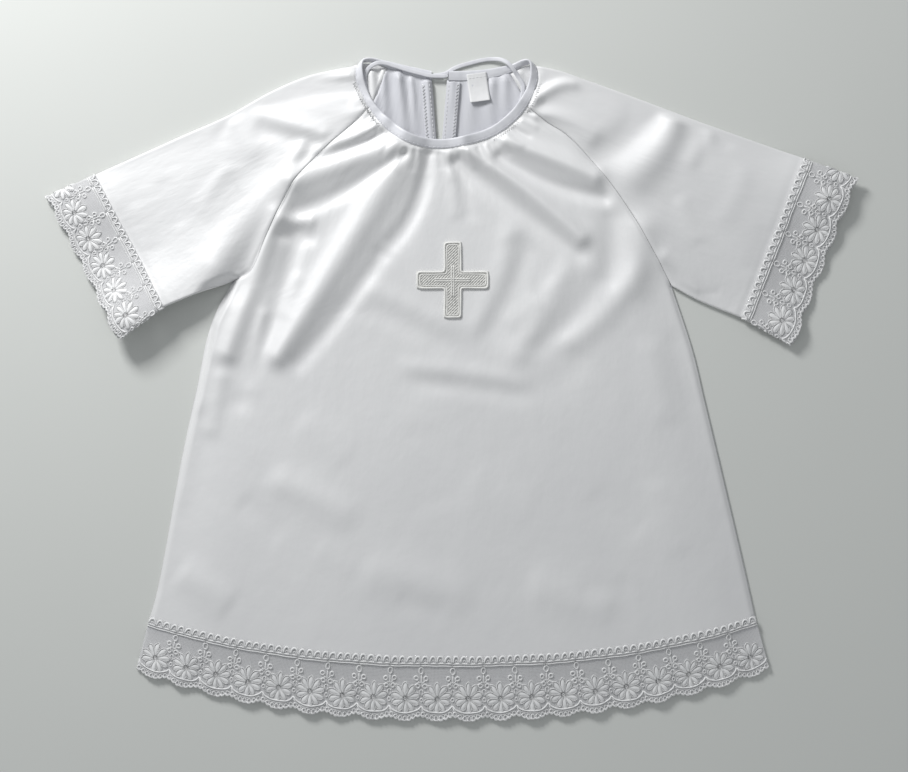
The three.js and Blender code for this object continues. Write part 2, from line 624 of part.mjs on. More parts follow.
// A flat cord along a route: an eight-sided section, level across and rounded at its edges.
const TIE_CORNER = 0.55;
const makeTie = (route) => {
  const line = spline(route.map(({ x, y, z }) => [x, y, z]));
  const [across, up] = [TIE.wide / 2, TIE.thick / 2];
  const outline = [[1, TIE_CORNER], [TIE_CORNER, 1], [-TIE_CORNER, 1], [-1, TIE_CORNER]];
  const section = [...outline, ...outline.map(([a, b]) => [-a, -b])];
  const sections = steps(Math.round(TIE_STATIONS * route.length)).map((t) => {
    const [place, way] = [line.getPointAt(t), line.getTangentAt(t)];
    const flat = Math.hypot(way.x, way.y);
    return section.map(([a, b]) => [
      place.x - (way.y / flat) * a * across,
      place.y + (way.x / flat) * a * across,
      place.z + b * up,
    ]);
  });
  return bar(sections);
};

// The label hangs from the tape at its top and curls up at its free end.
const makeLabel = () => {
  const { top, bottom, wide, thick, lift, curl, rows: count } = LABEL;
  const [dx, dy] = [bottom[0] - top[0], bottom[1] - top[1]];
  const half = wide / 2 / Math.hypot(dx, dy);
  const rows = steps(count).map((t) => {
    const [x, y] = mix(top, bottom, t);
    return [-half, 0, half].map((side) => [x - dy * side, y + dx * side]);
  });
  const low = (x, y, i) => lift + curl * (i / count) ** 3;
  return sheet(rows, (x, y, i) => low(x, y, i) + thick, low);
};

// Height of a grid of flat triangles at a point in the plan, so that what is sewn on follows them.
const heightOn = (grid, height) => {
  const raise = ([x, y]) => new THREE.Vector3(x, y, height(x, y));
  const triangles = grid.slice(1).flatMap((row, i) =>
    row.slice(1).flatMap((corner, j) => {
      const [a, b, d] = [grid[i][j], grid[i][j + 1], row[j]];
      return [[a, b, corner].map(raise), [a, corner, d].map(raise)];
    }),
  );
  const ON_EDGE = -1e-6;
  const weights = new THREE.Vector3();
  return (x, y) => {
    for (const corners of triangles) {
      const flat = corners.map((corner) => new THREE.Vector3(corner.x, corner.y, 0));
      THREE.Triangle.getBarycoord(new THREE.Vector3(x, y, 0), ...flat, weights);
      if (Math.min(weights.x, weights.y, weights.z) > ON_EDGE)
        return corners[0].z * weights.x + corners[1].z * weights.y + corners[2].z * weights.z;
    }
    return height(x, y);
  };
};

// The cross is a padded patch with small clipped corners, moved out from the front's own points.
const makeCross = (frontGrid) => {
  const { wide, tall, arm, thick, x, y, cell, corner } = CROSS;
  const onFront = heightOn(frontGrid, frontOutside);
  const grid = steps(Math.round(tall / cell)).map((v) =>
    steps(Math.round(wide / cell)).map((u) => [x + wide * (u - 0.5), y + tall * (0.5 - v)]),
  );
  const low = (px, py) => onFront(px, py) + SEAM;
  const patch = sheet(grid, (px, py) => low(px, py) + thick, low);
  const [w, h, a] = [wide / 2, tall / 2, arm / 2];
  const quarter = [[w, a - corner], [w - corner, a], [a, a], [a, h - corner], [a - corner, h]];
  const turned = [
    ...quarter,
    ...quarter.map(([px, py]) => [-px, py]).toReversed(),
    ...quarter.map(([px, py]) => [-px, -py]),
    ...quarter.map(([px, py]) => [px, -py]).toReversed(),
  ];
  const outline = prism(turned.map(([px, py]) => [x + px, y + py]));
  return fromManifold(toManifold(patch).intersect(outline));
};

// ---------------------------------------------------------------- the shirt

const finish = (color, roughness) => new THREE.MeshStandardMaterial({ color, roughness, metalness: 0 });
const SATIN = finish(0xe6e6ea, 0.36);
const NET = finish(0xe2e3e2, 0.85);
const BINDING = finish(0xdcdce3, 0.42);
const CORD = finish(0xe0e0e6, 0.5);
const TICKET = finish(0xececec, 0.6);
const EMBROIDERY = finish(0xbcbdba, 0.7);

const shirt = new THREE.Group();
const add = (name, geometry, material) => {
  const piece = new THREE.Mesh(geometry, material);
  piece.name = name;
  shirt.add(piece);
};

const front = makeFront();
add("front", front.geometry, SATIN);
add("back", makeBack(), SATIN);
const neckLeft = { front: ROWS.frontLeft, corner: ROWS.cornerLeft, back: ROWS.backLeft };
const neckRight = { front: ROWS.frontRight, corner: ROWS.cornerRight, back: ROWS.backRight };
add("sleeve_left", makeSleeve(LEFT, 1, neckLeft), SATIN);
add("sleeve_right", makeSleeve(RIGHT, -1, neckRight), SATIN);
add("cuff_lace_left", makeCuffLace(LEFT), NET);
add("cuff_lace_right", makeCuffLace(RIGHT), NET);
add("hem_lace_front", makeHemLaceFront(), NET);
add("hem_lace_back", makeHemLaceBack(), NET);
add("neck_binding", makeTape(), BINDING);
add("slit_facing_left", makeFacing(SLIT.leftTop, SLIT.leftFoot, -1), SATIN);
add("slit_facing_right", makeFacing(SLIT.rightTop, SLIT.rightFoot, 1), SATIN);
add("tie_right", makeTie(TIE_TO_RIGHT), CORD);
add("tie_left", makeTie(TIE_TO_LEFT), CORD);
add("label", makeLabel(), TICKET);
add("cross", makeCross(front.grid), EMBROIDERY);

export default shirt;
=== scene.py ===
"""A child's christening shirt in white satin, laid flat on its back with its sleeves spread.

Sizes are in millimetres in the shared frame: +X to the right, +Y from the hem to the neck and +Z up
out of the front. Meshes are turned to metres as they are filled, by fill_mesh.
"""

import logging
import math
from collections.abc import Callable
from dataclasses import dataclass
from enum import Enum

import bpy
import numpy as np
from numpy.typing import NDArray
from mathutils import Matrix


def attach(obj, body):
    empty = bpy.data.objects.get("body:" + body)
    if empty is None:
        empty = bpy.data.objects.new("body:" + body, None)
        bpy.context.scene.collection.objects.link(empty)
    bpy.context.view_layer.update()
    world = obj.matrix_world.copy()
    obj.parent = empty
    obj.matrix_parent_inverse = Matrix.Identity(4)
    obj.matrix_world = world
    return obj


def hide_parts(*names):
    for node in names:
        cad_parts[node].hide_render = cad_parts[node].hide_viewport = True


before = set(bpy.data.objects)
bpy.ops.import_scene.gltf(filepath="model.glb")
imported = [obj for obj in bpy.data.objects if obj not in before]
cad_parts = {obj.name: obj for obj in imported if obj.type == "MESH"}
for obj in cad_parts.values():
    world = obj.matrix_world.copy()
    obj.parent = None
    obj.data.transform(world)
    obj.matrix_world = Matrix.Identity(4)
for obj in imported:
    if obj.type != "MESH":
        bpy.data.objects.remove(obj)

Array = NDArray[np.float64]
Place = Callable[[Array, Array, Array], Array]
MM = 0.001
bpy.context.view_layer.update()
BODY = "root"
log = logging.getLogger("shirt")


class Slot(Enum):
    """Names of material slots that the pieces are passed with; nothing here reads them."""

    SATIN = "satin"
    LACE = "lace"
    BINDING = "binding"
    EMBROIDERY = "cross_embroidery"
    LABEL = "label"


def table(names: str, *rows: tuple[float, ...]) -> dict[str, Array]:
    """Turns rows of numbers into named columns.

    Args:
        names: The columns' names, parted by spaces.
        rows: One tuple for each row.

    Returns:
        Each column's numbers by its name.
    """
    return dict(zip(names.split(), np.array(rows, float).T))


# ---------------------------------------------------------------- outline, seen from above

# The neck tape from the slit's left side, round the front, to its right side: points on its sewn
# and its free edge, the sewn edge's lift, the free edge's rise and whether it lies on the front.
NECK = table(
    "sewn_x sewn_y free_x free_y base rise front",
    (-13.9, 216.8, -13.9, 223.4, 0, 0.1, 0),
    (-30, 220.8, -32, 227.2, 0, 0.2, 0),
    (-45, 225.4, -47, 230.4, 0, 1, 0),
    (-57, 228.4, -56.4, 231, 0.4, 3.4, 0.2),
    (-65.6, 227.2, -62.2, 229.6, 0, 4.4, 0.8),
    (-67.4, 218, -61.8, 218.6, 0.2, 2.8, 1),
    (-63.4, 208, -57.6, 206.2, 0, 1.4, 1),
    (-57.8, 197, -52, 197.6, 0, 1, 1),
    (-46.8, 183, -42.6, 188.2, 0, 0.8, 1),
    (-31, 172.2, -28.4, 178.2, 0, 0.8, 1),
    (-13, 168.3, -12, 174.9, 0, 0.8, 1),
    (5, 169.3, 5, 175.9, 0, 0.8, 1),
    (19, 172.7, 16.6, 179, 0, 0.8, 1),
    (33.4, 178.7, 29.6, 184.3, 0, 0.8, 1),
    (46.2, 189, 41, 193.6, 0, 1, 1),
    (53, 197.4, 47, 200.6, 0, 1, 1),
    (58.8, 210, 52.8, 210.6, 0, 1.4, 1),
    (61.2, 219.4, 55.6, 219.6, 0.2, 2.8, 1),
    (58.8, 227, 55.4, 229, 0, 4.4, 0.8),
    (51, 226, 50.4, 230, 0.4, 3.4, 0.2),
    (41.4, 221.8, 42.6, 227.8, 0, 1, 0),
    (25, 217.8, 25, 224.6, 0, 0.2, 0),
    (9.6, 216.4, 9, 223.4, 0.4, 0.1, 0),
    (-2.1, 216.3, -2.1, 223, 2, 0.1, 0),
)
NECK_ROWS = len(NECK["base"])
SEWN = np.column_stack([NECK["sewn_x"], NECK["sewn_y"]])
FREE = np.column_stack([NECK["free_x"], NECK["free_y"]])


@dataclass(frozen=True)
class Side:
    """One side of the shirt, seen from above: seams and edges, and where the neck's parts change.

    hand is 1 for the left side and -1 for the right one, whose lines run the other way round.
    """

    name: str
    hand: int
    front_raglan: Array
    back_raglan: Array
    seam: Array
    top: Array
    bottom: Array
    head_top: Array
    head_bottom: Array
    tip_top: Array
    tip_bottom: Array
    neck_front: int
    neck_corner: int
    neck_back: int


def line(*points: tuple[float, float]) -> Array:
    """Points in the plan as an array."""
    return np.array(points, float)


LEFT = Side(
    name="left",
    hand=1,
    front_raglan=line(
        (-57.8, 197), (-65, 189.3), (-86.3, 170.6), (-108.7, 146.6),
        (-128.6, 108.1), (-140.2, 83), (-153.5, 75.5),
    ),
    back_raglan=line((-45, 225.4), (-56, 199), (-82, 162), (-116, 120), (-140, 88), (-153.5, 75.5)),
    seam=line(
        (-153.5, 75.5), (-167.5, 48), (-179.4, -4), (-187.8, -42), (-206, -140), (-212.3, -163)
    ),
    top=line((-65.6, 227.2), (-99, 219.5), (-127, 207.5), (-156.3, 191), (-190, 176), (-248, 149.4)),
    bottom=line((-153.5, 75.5), (-172.4, 69.5), (-199, 58.6)),
    head_top=np.array((-248.4, 149.6)),
    head_bottom=np.array((-199.2, 58.2)),
    tip_top=np.array((-283.6, 133.8)),
    tip_bottom=np.array((-231.8, 34.4)),
    neck_front=7,
    neck_corner=4,
    neck_back=2,
)
RIGHT = Side(
    name="right",
    hand=-1,
    front_raglan=line(
        (53, 197.4), (66.3, 187), (80.3, 178.1), (103.4, 154),
        (123.3, 127.3), (141.9, 95.9), (154.5, 72.5),
    ),
    back_raglan=line((41.4, 221.8), (54, 200), (82, 162), (112, 122), (138, 90), (154.5, 72.5)),
    seam=line((154.5, 72.5), (169.2, 27.6), (177.6, -7.3), (186, -42.3), (204.2, -119.3), (214, -163)),
    top=line((58.8, 227), (76, 223), (96.4, 215.5), (137, 200.5), (174.1, 186.5), (245, 161)),
    bottom=line((154.5, 72.5), (174.8, 62.5), (202.6, 51.6)),
    head_top=np.array((245.3, 160.8)),
    head_bottom=np.array((202.9, 51.3)),
    tip_top=np.array((283.7, 146.4)),
    tip_bottom=np.array((239.6, 30.8)),
    neck_front=15,
    neck_corner=18,
    neck_back=20,
)
SIDES = (LEFT, RIGHT)

# How deep the satin is sunk under its lace, and how far from the lace's head that starts.
UNDER_LACE, HEAD_REACH = 0.45, 5.0

# The hem sags between its two corners: at its header and at the lace's edge.
HEM_HEAD_Y, HEM_HEAD_SAG = -163.0, 27.8
HEM_TIP_X, HEM_TIP_Y, HEM_TIP_SAG = (-221.4, 223.4), -197.0, 35.4
HEM_FLATNESS = 2.3

# Ties, as routes: each leaves one end of the tape at the slit, crosses over and ends inside.
TIE_TO_RIGHT = np.array((
    (-13.5, 220.2, 0.95), (-8, 220.6, 0.85), (-3, 222, 0.8), (1.5, 224.9, 0.8), (7, 227.1, 0.8),
    (13.1, 228.8, 0.8), (21, 230.8, 0.9), (28.5, 231.6, 1.5), (35, 230.8, 3.4), (39.7, 228.2, 4.6),
    (43.2, 224.2, 4.4), (46.6, 219.4, 2.9), (50, 213.3, 2.3), (49.6, 205, 2.25), (47, 196, 2.3),
    (43, 188, 2.4),
))
TIE_TO_LEFT = np.array((
    (-2.5, 219.6, 2.9), (-8, 219.4, 3.1), (-14.5, 219.7, 3.25), (-22, 221.4, 3.2), (-31, 223.8, 3.3),
    (-39.4, 226.4, 3.6), (-47.2, 228.5, 4.1), (-53, 227.9, 4.8), (-58, 224.6, 3.7), (-60.4, 220, 2.6),
    (-60.4, 213.5, 2.3), (-59, 206, 2.25), (-57, 198, 2.3), (-52.5, 190, 2.4),
))

# ---------------------------------------------------------------- lie of the cloth

BELL = "x0 y0 x1 y1 bow reach0 reach1 h0 h1"

# Where a sleeve or its lace is off the surface.
LIFTS = table(
    BELL,
    (-160, 72, -220, 46, 0, 30, 30, 9, 16),
    (-240, 140, -262, 132, 0, 24, 24, 3, 3.6),
    (262, 155, 270, 140, 0, 26, 26, 5.4, 6),
    (222, 44, 238, 36, 0, 22, 22, 3.2, 3.6),
)

# Main folds of the upper layer: a ridge where the height is positive, a valley where negative.
FOLDS = table(
    BELL,
    (-32, 167, -121, 24, 1, 13, 8, 5.2, 4.8),
    (-16.5, 164, -41, 103, 6, 4, 6, -4.6, -3.2),
    (-49, 94, -107, 18, 2, 6, 6, -3.2, -1.4),
    (-38, 171, -108, 146, 0, 6, 9, 3.8, 3.8),
    (-33, 165, -108, 124, 3, 4, 6, -3, -2.6),
    (-48, 185, -92, 168, 1, 3.6, 4.5, 2.8, 2),
    (-48, 178, -92, 162, 1, 3, 4, -1.8, -1.6),
    (-121, 122, -156, 26, 0, 7, 8, 3.8, 4.8),
    (-163, 58, -178, -2, 0, 13, 11, 4.8, 3),
    (-161, 8, -168, -26, 0, 7, 7, 2.2, 1.6),
    (-180, -14, -190, -74, 0, 8, 9, 2.2, 1),
    (-107, 108, -147, -8, 2, 6, 7, -3.4, -1.2),
    (-131, 52, -141, 2, 0, 4.5, 7, 1.8, 1.4),
    (-119, 108, -99, 106, 0, 4.5, 5, -2, -2),
    (-117, 119, -98, 118, 0, 4, 4, 2, 2),
    (38, 173, 100, 149, 0.5, 6, 7, 4.8, 4.4),
    (34, 162, 106, 134, -4, 4.5, 5, -4, -3.2),
    (9, 168, 90, 106, 3, 5.5, 7, 6, 4.2),
    (4, 158, 88, 96, -1, 5, 7, -4.8, -2),
    (112, 118, 108, 78, 2, 8, 8, -2, -2.2),
    (134, 112, 131, 74, 0, 11, 11, 2.4, 1.8),
    (-68, 211, -128, 209, -2, 5, 9, -4, -3.4),
    (-68, 222, -106, 216, 2, 5, 6, 2.8, 1.8),
    (-133, 192, -90, 179, 0, 6, 6, 1.7, 1.9),
    (-131, 181, -90, 170, 0, 6, 6, -1.6, -1.9),
    (-104, 172, -115, 148, 0, 4, 5, 1.3, 1),
    (-150, 186, -140, 168, 0, 7, 8, 1.6, 1.2),
    (-162, 86, -116, 144, 3, 14, 13, 4.6, 3.4),
    (56, 199, 84, 216, 4, 4, 6, 4.2, 4),
    (62, 211, 82, 220, 2, 4, 5, -3, -2.6),
    (60, 192, 98, 178, 4, 4, 7, 2.6, 1.8),
    (157, 192, 130, 151, 4, 9, 13, 5, 4),
    (136, 199, 104, 164, 4, 8, 10, -3.2, -2.6),
    (182, 180, 168, 160, 0, 6, 8, 1.8, 1.2),
    (150, 92, 172, 66, 2, 6, 6, 2, 2),
)

# Gathers that run out from the tape, and the small creases between the main folds.
CREASES = table(
    BELL,
    (86, 98, 36, 10, 3, 8, 9, 1.7, 1.5),
    (136, 96, 68, 24, 9, 8, 9, 2, 1.7),
    (44, 124, 8, 28, 6, 8, 9, 1.5, 1.2),
    (56, 112, 16, 28, 6, 7, 8, -1.2, -1),
    (106, 84, 50, 22, 6, 7, 8, -0.8, -1.2),
    (-1, 160, 4, 116, 0, 4, 5, 0.9, 0.7),
    (6, 160, 14, 114, 0, 4, 5, -0.9, -0.7),
    (-66, 75, 12, 38, 1, 7, 8, 0.9, 1),
    (-70, 62, 6, 25, 1, 7, 8, -0.9, -0.8),
    (-44, 17, 64, 3, 2, 6, 7, 1, 0.9),
    (-36, 6, 64, -7, 1, 6, 7, -1, -0.9),
    (-132, -60, -62, -94, 2, 10, 12, 1.7, 1.2),
    (-70, -126, 20, -148, 3, 14, 16, 1.4, 1.5),
    (50, -134, 120, -150, -4, 14, 14, 1.5, 1),
    (-194, -126, -152, -154, 2, 12, 13, 1.5, 1.2),
    (-61, 203, -72, 199, 0, 1.6, 3, 1.3, 0.3),
    (-54, 191, -68, 181, 1, 1.5, 3, 1.2, 0.4),
    (-49.5, 185.5, -61, 174, 1, 1.5, 2.6, -1.4, -0.3),
    (-44, 180, -57, 166, -2, 1.6, 3, 1.2, 0.3),
    (-38.5, 175.5, -49, 159, -2, 1.4, 2.8, -1.3, -0.3),
    (-31, 171.5, -40, 150, -2, 1.7, 3.4, 1.5, 0.4),
    (-25, 169.8, -28, 150, 1, 1.5, 3.4, -1.4, -0.3),
    (-17, 168.2, -18, 146, 0, 1.8, 4, 1.1, 0.3),
    (-8.5, 167.4, -7, 152, 0, 1.4, 3, -0.9, -0.2),
    (-2, 168, 1, 143, 0, 1.6, 3.6, 1, 0.3),
    (5.5, 168.6, 8, 150, 0, 1.3, 3, -1, -0.2),
    (11, 170, 17, 152, -1, 1.5, 3, 1.2, 0.3),
    (17.6, 171.6, 26, 155, -1, 1.3, 2.8, -1.3, -0.3),
    (23.5, 174, 35, 158, -2, 1.5, 3, 1.3, 0.4),
    (30, 176.6, 43, 162, -2, 1.3, 2.8, -1.4, -0.3),
    (36.5, 180.6, 52, 168, -1, 1.5, 3, 1.4, 0.4),
    (42, 185, 57, 175, -1, 1.3, 2.6, -1.4, -0.3),
    (47, 189.5, 62, 182, 0, 1.5, 2.8, 1.3, 0.4),
    (51.5, 195, 65, 190, 0, 1.3, 2.4, -1.3, -0.3),
    (-64, 212, -78, 213, 0, 1.5, 3, -1.2, -0.3),
    (-66, 221, -79, 220, 0, 1.5, 3, -1, -0.2),
    (57.6, 206, 70, 207, 0, 1.4, 3, -1.2, -0.3),
    (60, 214, 70, 216, 0, 1.4, 3, 1, 0.3),
    (-96, 168, -128, 150, 3, 3.5, 5, -0.9, -0.5),
    (-150, 160, -176, 118, -4, 5, 7, 0.9, 0.5),
    (-205, 150, -188, 110, 3, 6, 7, -0.7, -0.5),
    (-158, 190, -164, 170, 0, 3, 5, -1, -0.4),
    (-160, 192, -176, 180, 1, 2.4, 4, 0.9, 0.3),
    (-222, 132, -210, 96, 2, 7, 8, 0.6, 0.5),
    (176, 182, 172, 150, 2, 4, 6, -0.8, -0.4),
    (183, 183, 196, 168, 0, 2.6, 4, -1, -0.4),
    (206, 160, 184, 112, 4, 7, 8, 0.7, 0.5),
    (222, 118, 208, 78, 2, 6, 8, -0.6, -0.5),
    (160, 138, 176, 100, -3, 6, 8, 0.8, 0.6),
    (170, 66, 190, 68, 0, 2.4, 3.4, -0.9, -0.5),
    (-146, 82, -160, 64, 1, 3, 5, 1.2, 0.8),
    (-104, 84, -118, 46, -3, 5, 8, 0.9, 0.7),
    (-46, 96, -66, 52, -4, 8, 10, 0.8, 0.6),
    (38, 108, 70, 70, 4, 8, 11, -0.9, -0.6),
    (64, 66, 34, 44, 2, 6, 8, 0.8, 0.5),
    (96, 30, 52, -6, 5, 9, 12, -0.8, -0.5),
    (134, 40, 150, -30, 3, 9, 12, 0.9, 0.6),
    (152, 44, 170, -20, 2, 6, 9, -1, -0.6),
    (-108, -20, -70, -52, 3, 12, 13, 0.7, 0.6),
    (-150, -76, -116, -106, 2, 9, 12, -0.7, -0.5),
    (-96, -110, -64, -128, 1, 9, 12, 0.6, 0.4),
    (10, -60, 60, -84, -4, 14, 16, 0.6, 0.5),
    (96, -70, 134, -104, 3, 12, 14, -0.6, -0.5),
    (140, -60, 160, -120, 2, 10, 12, 0.7, 0.5),
    (-22, -20, -10, -90, 3, 14, 16, -0.5, -0.4),
    (-40, -146, -2, -158, 1, 8, 9, -0.6, -0.5),
    (86, -142, 130, -138, 1, 8, 9, -0.6, -0.4),
)


def smooth(t: Array) -> Array:
    """A smooth step from 0 to 1: 3t² - 2t³ on t held between 0 and 1."""
    held = np.clip(t, 0, 1)
    return held * held * (3 - 2 * held)


def bell(distance: Array, reach: Array | float) -> Array:
    """A bell over a distance: exp(-(distance / reach)²)."""
    return np.exp(-((distance / reach) ** 2))


def unit(vectors: Array) -> Array:
    """Vectors, one row each, at a length of 1."""
    return vectors / np.maximum(np.linalg.norm(vectors, axis=1, keepdims=True), 1e-9)


def bells(rows: dict[str, Array], x: Array, y: Array, fades: bool = False) -> Array:
    """Adds up a table's bells: h·exp(-(d / reach)²), where d is the distance from the bell's line.

    The line is bowed to its left by bow·4s(1 - s), s is the place along it, and h and reach go
    evenly from their first value to their last one.

    Args:
        rows: A table with the columns of BELL.
        x: Places across.
        y: Places up the plan.
        fades: Whether each bell fades in and out at its line's ends.

    Returns:
        The heights at the places.
    """
    total = np.zeros(np.broadcast(x, y).shape)
    for x0, y0, x1, y1, bow, reach0, reach1, h0, h1 in zip(*(rows[name] for name in BELL.split())):
        dx, dy = x1 - x0, y1 - y0
        long = math.hypot(dx, dy)
        s = np.clip(((x - x0) * dx + (y - y0) * dy) / long**2, 0, 1)
        side = bow * 4 * s * (1 - s) / long
        away = np.hypot(x - x0 - dx * s + dy * side, y - y0 - dy * s - dx * side)
        high = (h0 + (h1 - h0) * s) * (smooth(5 * np.minimum(s, 1 - s)) if fades else 1)
        total += high * bell(away, reach0 + (reach1 - reach0) * s)
    return total


def distance_to(path: Array, x: Array, y: Array) -> Array:
    """The distance from each place to a path of straight stretches, the least over them.

    Args:
        path: The path's points in the plan.
        x: Places across.
        y: Places up the plan.

    Returns:
        The distances.
    """
    best = np.full(np.broadcast(x, y).shape, np.inf)
    for (ax, ay), (bx, by) in zip(path[:-1], path[1:]):
        dx, dy = bx - ax, by - ay
        s = np.clip(((x - ax) * dx + (y - ay) * dy) / (dx * dx + dy * dy), 0, 1)
        best = np.minimum(best, np.hypot(x - ax - dx * s, y - ay - dy * s))
    return best


@dataclass(frozen=True)
class Lie:
    """How the upper layer of the shirt lies over the lower one."""

    wall: float = 1.2
    layer_gap: float = 0.5
    puff: float = 3.2
    puff_reach: float = 24.0
    softness: float = 1.1
    fold_clear: float = 6.0
    past_hem: float = 40.0
    pucker_middle: tuple[float, float] = (-3.5, 207.0)
    pucker_size: tuple[float, float] = (62.0, 38.0)
    pucker_count: int = 20
    pucker_reach: float = 0.22
    pucker_height: float = 0.55

    def edges(self) -> list[Array]:
        """The closed edges that the upper layer comes down to: sleeve edges and side seams."""
        found = []
        for side in SIDES:
            slope = (side.seam[-1] - side.seam[-2]) / (side.seam[-2, 1] - side.seam[-1, 1])
            found += [
                np.vstack([side.top, side.tip_top]),
                np.vstack([side.bottom, side.tip_bottom]),
                np.vstack([side.seam, side.seam[-1] + slope * self.past_hem]),
            ]
        return found

    def pucker(self, x: Array, y: Array) -> Array:
        """A wave in the angle about the neck's middle that dies away from the neckline."""
        px = (x - self.pucker_middle[0]) / self.pucker_size[0]
        py = (y - self.pucker_middle[1]) / self.pucker_size[1]
        wave = self.pucker_height * np.cos(self.pucker_count * np.arctan2(py, px))
        return wave * bell(np.maximum(0, np.hypot(px, py) - 1), self.pucker_reach)

    def space(self, x: Array, y: Array, gathered: bool = True) -> Array:
        """The space between the layers past layer_gap.

        It is the soft limit log(1 + e^folded) of a puff that grows away from the closed edges and
        the folds on it, so that it is nothing at an edge and never negative.

        Args:
            x: Places across.
            y: Places up the plan.
            gathered: Whether the small gathers and creases are added.

        Returns:
            The space at the places.
        """
        edge = np.min([distance_to(path, x, y) for path in self.edges()], axis=0)
        puff = self.puff * (1 - bell(edge, self.puff_reach))
        folds = bells(FOLDS, x, y)
        if gathered:
            folds = folds + bells(CREASES, x, y, fades=True) + self.pucker(x, y)
        folded = (puff + smooth(edge / self.fold_clear) * folds) / self.softness
        held = self.softness * (np.logaddexp(0, folded) - math.log(2) * np.exp(-puff))
        return np.maximum(0, held)

    def top(self, x: Array, y: Array) -> Array:
        """The height of the upper layer's outside."""
        return 2 * self.wall + self.layer_gap + self.space(x, y)


LIE = Lie()

# ---------------------------------------------------------------- lines, grids and meshes


def curve_at(points: Array, places: Array) -> Array:
    """Points on the smooth curve through a list of points.

    Each stretch is a cubic whose end slopes come from the points on both sides, weighted by the
    square roots of the stretches' lengths.

    Args:
        points: The points, one row each.
        places: Where to take the curve, counted in points from 0.

    Returns:
        One row for each place.
    """
    padded = np.vstack([2 * points[0] - points[1], points, 2 * points[-1] - points[-2]])
    index = np.clip(np.floor(places).astype(int), 0, len(points) - 2)
    w = (places - index)[:, None]
    p0, p1, p2, p3 = (padded[index + k] for k in range(4))
    d0, d1, d2 = (
        np.maximum(np.linalg.norm(b - a, axis=1, keepdims=True), 1e-9) ** 0.5
        for a, b in ((p0, p1), (p1, p2), (p2, p3))
    )
    start = ((p1 - p0) / d0 - (p2 - p0) / (d0 + d1) + (p2 - p1) / d1) * d1
    end = ((p2 - p1) / d1 - (p3 - p1) / (d1 + d2) + (p3 - p2) / d2) * d1
    square = 3 * (p2 - p1) - 2 * start - end
    cube = 2 * (p1 - p2) + start + end
    return p1 + w * (start + w * (square + w * cube))


def runs(points: Array) -> Array:
    """How far along a line of points each one is."""
    return np.concatenate([[0], np.cumsum(np.linalg.norm(np.diff(points, axis=0), axis=1))])


def even(points: Array, fractions: Array) -> Array:
    """Points at fractions of the length of the smooth curve through a list of points."""
    places = np.linspace(0, len(points) - 1, 60 * len(points))
    length = runs(curve_at(points, places))
    return curve_at(points, np.interp(fractions * length[-1], length, places))


def move_sideways(points: Array, distance: float) -> Array:
    """Moves an open line in the plan to its left, or to its right for a negative distance."""
    way = unit(np.gradient(points, axis=0))
    return points + distance * np.column_stack([-way[:, 1], way[:, 0]])


def walk(points: Array, at: Array) -> Array:
    """Points at distances along the straight stretches of a line in the plan."""
    length = runs(points)
    return np.column_stack([np.interp(at, length, points[:, k]) for k in (0, 1)])


def ring_runs(ring: Array) -> Array:
    """How far round a closed line each of its points is, and at the end its whole length."""
    steps = np.linalg.norm(np.diff(ring, axis=0, append=ring[:1]), axis=1)
    return np.concatenate([[0], np.cumsum(steps)])


def cloth_places(across: Array, down: Array) -> Array:
    """The places on the cloth of a grid's points, row by row."""
    return np.dstack(np.meshgrid(across, down)).reshape(-1, 2)


def sewn_between(start: float, end: float, fractions: Array) -> Array:
    """Points on the neck's sewn line between two rows of the neck table."""
    return curve_at(SEWN, start + (end - start) * fractions)


def coons(left: Array, right: Array, top: Array, bottom: Array, u: Array) -> Array:
    """Fills the plan between four lines: the two straight blends added, less that of the corners.

    Args:
        left: The left line, from top to bottom.
        right: The right line, with as many points.
        top: The top line, from left to right.
        bottom: The bottom line, with as many points.
        u: Each column's place between left and right.

    Returns:
        A grid of points, rows from top to bottom and columns from left to right.
    """
    v = ((runs(left) / runs(left)[-1] + runs(right) / runs(right)[-1]) / 2)[:, None, None]
    u = u[None, :, None]
    across = left[:, None] * (1 - u) + right[:, None] * u
    down = top[None] * (1 - v) + bottom[None] * v
    ends = (top[0] * (1 - u) + top[-1] * u) * (1 - v) + (bottom[0] * (1 - u) + bottom[-1] * u) * v
    return across + down - ends


def grid_faces(rows: int, columns: int, ring: bool = False) -> NDArray[np.int64]:
    """Four-sided faces of a grid that point at a viewer who sees rows run down and columns right.

    Args:
        rows: How many rows of points the grid has.
        columns: How many columns it has.
        ring: Whether its last column joins its first one.

    Returns:
        One row of four point numbers for each face.
    """
    i, j = np.meshgrid(np.arange(rows - 1), np.arange(columns if ring else columns - 1), indexing="ij")
    right = (j + 1) % columns
    corners = [i * columns + j, (i + 1) * columns + j, (i + 1) * columns + right, i * columns + right]
    return np.stack(corners, axis=-1).reshape(-1, 4)


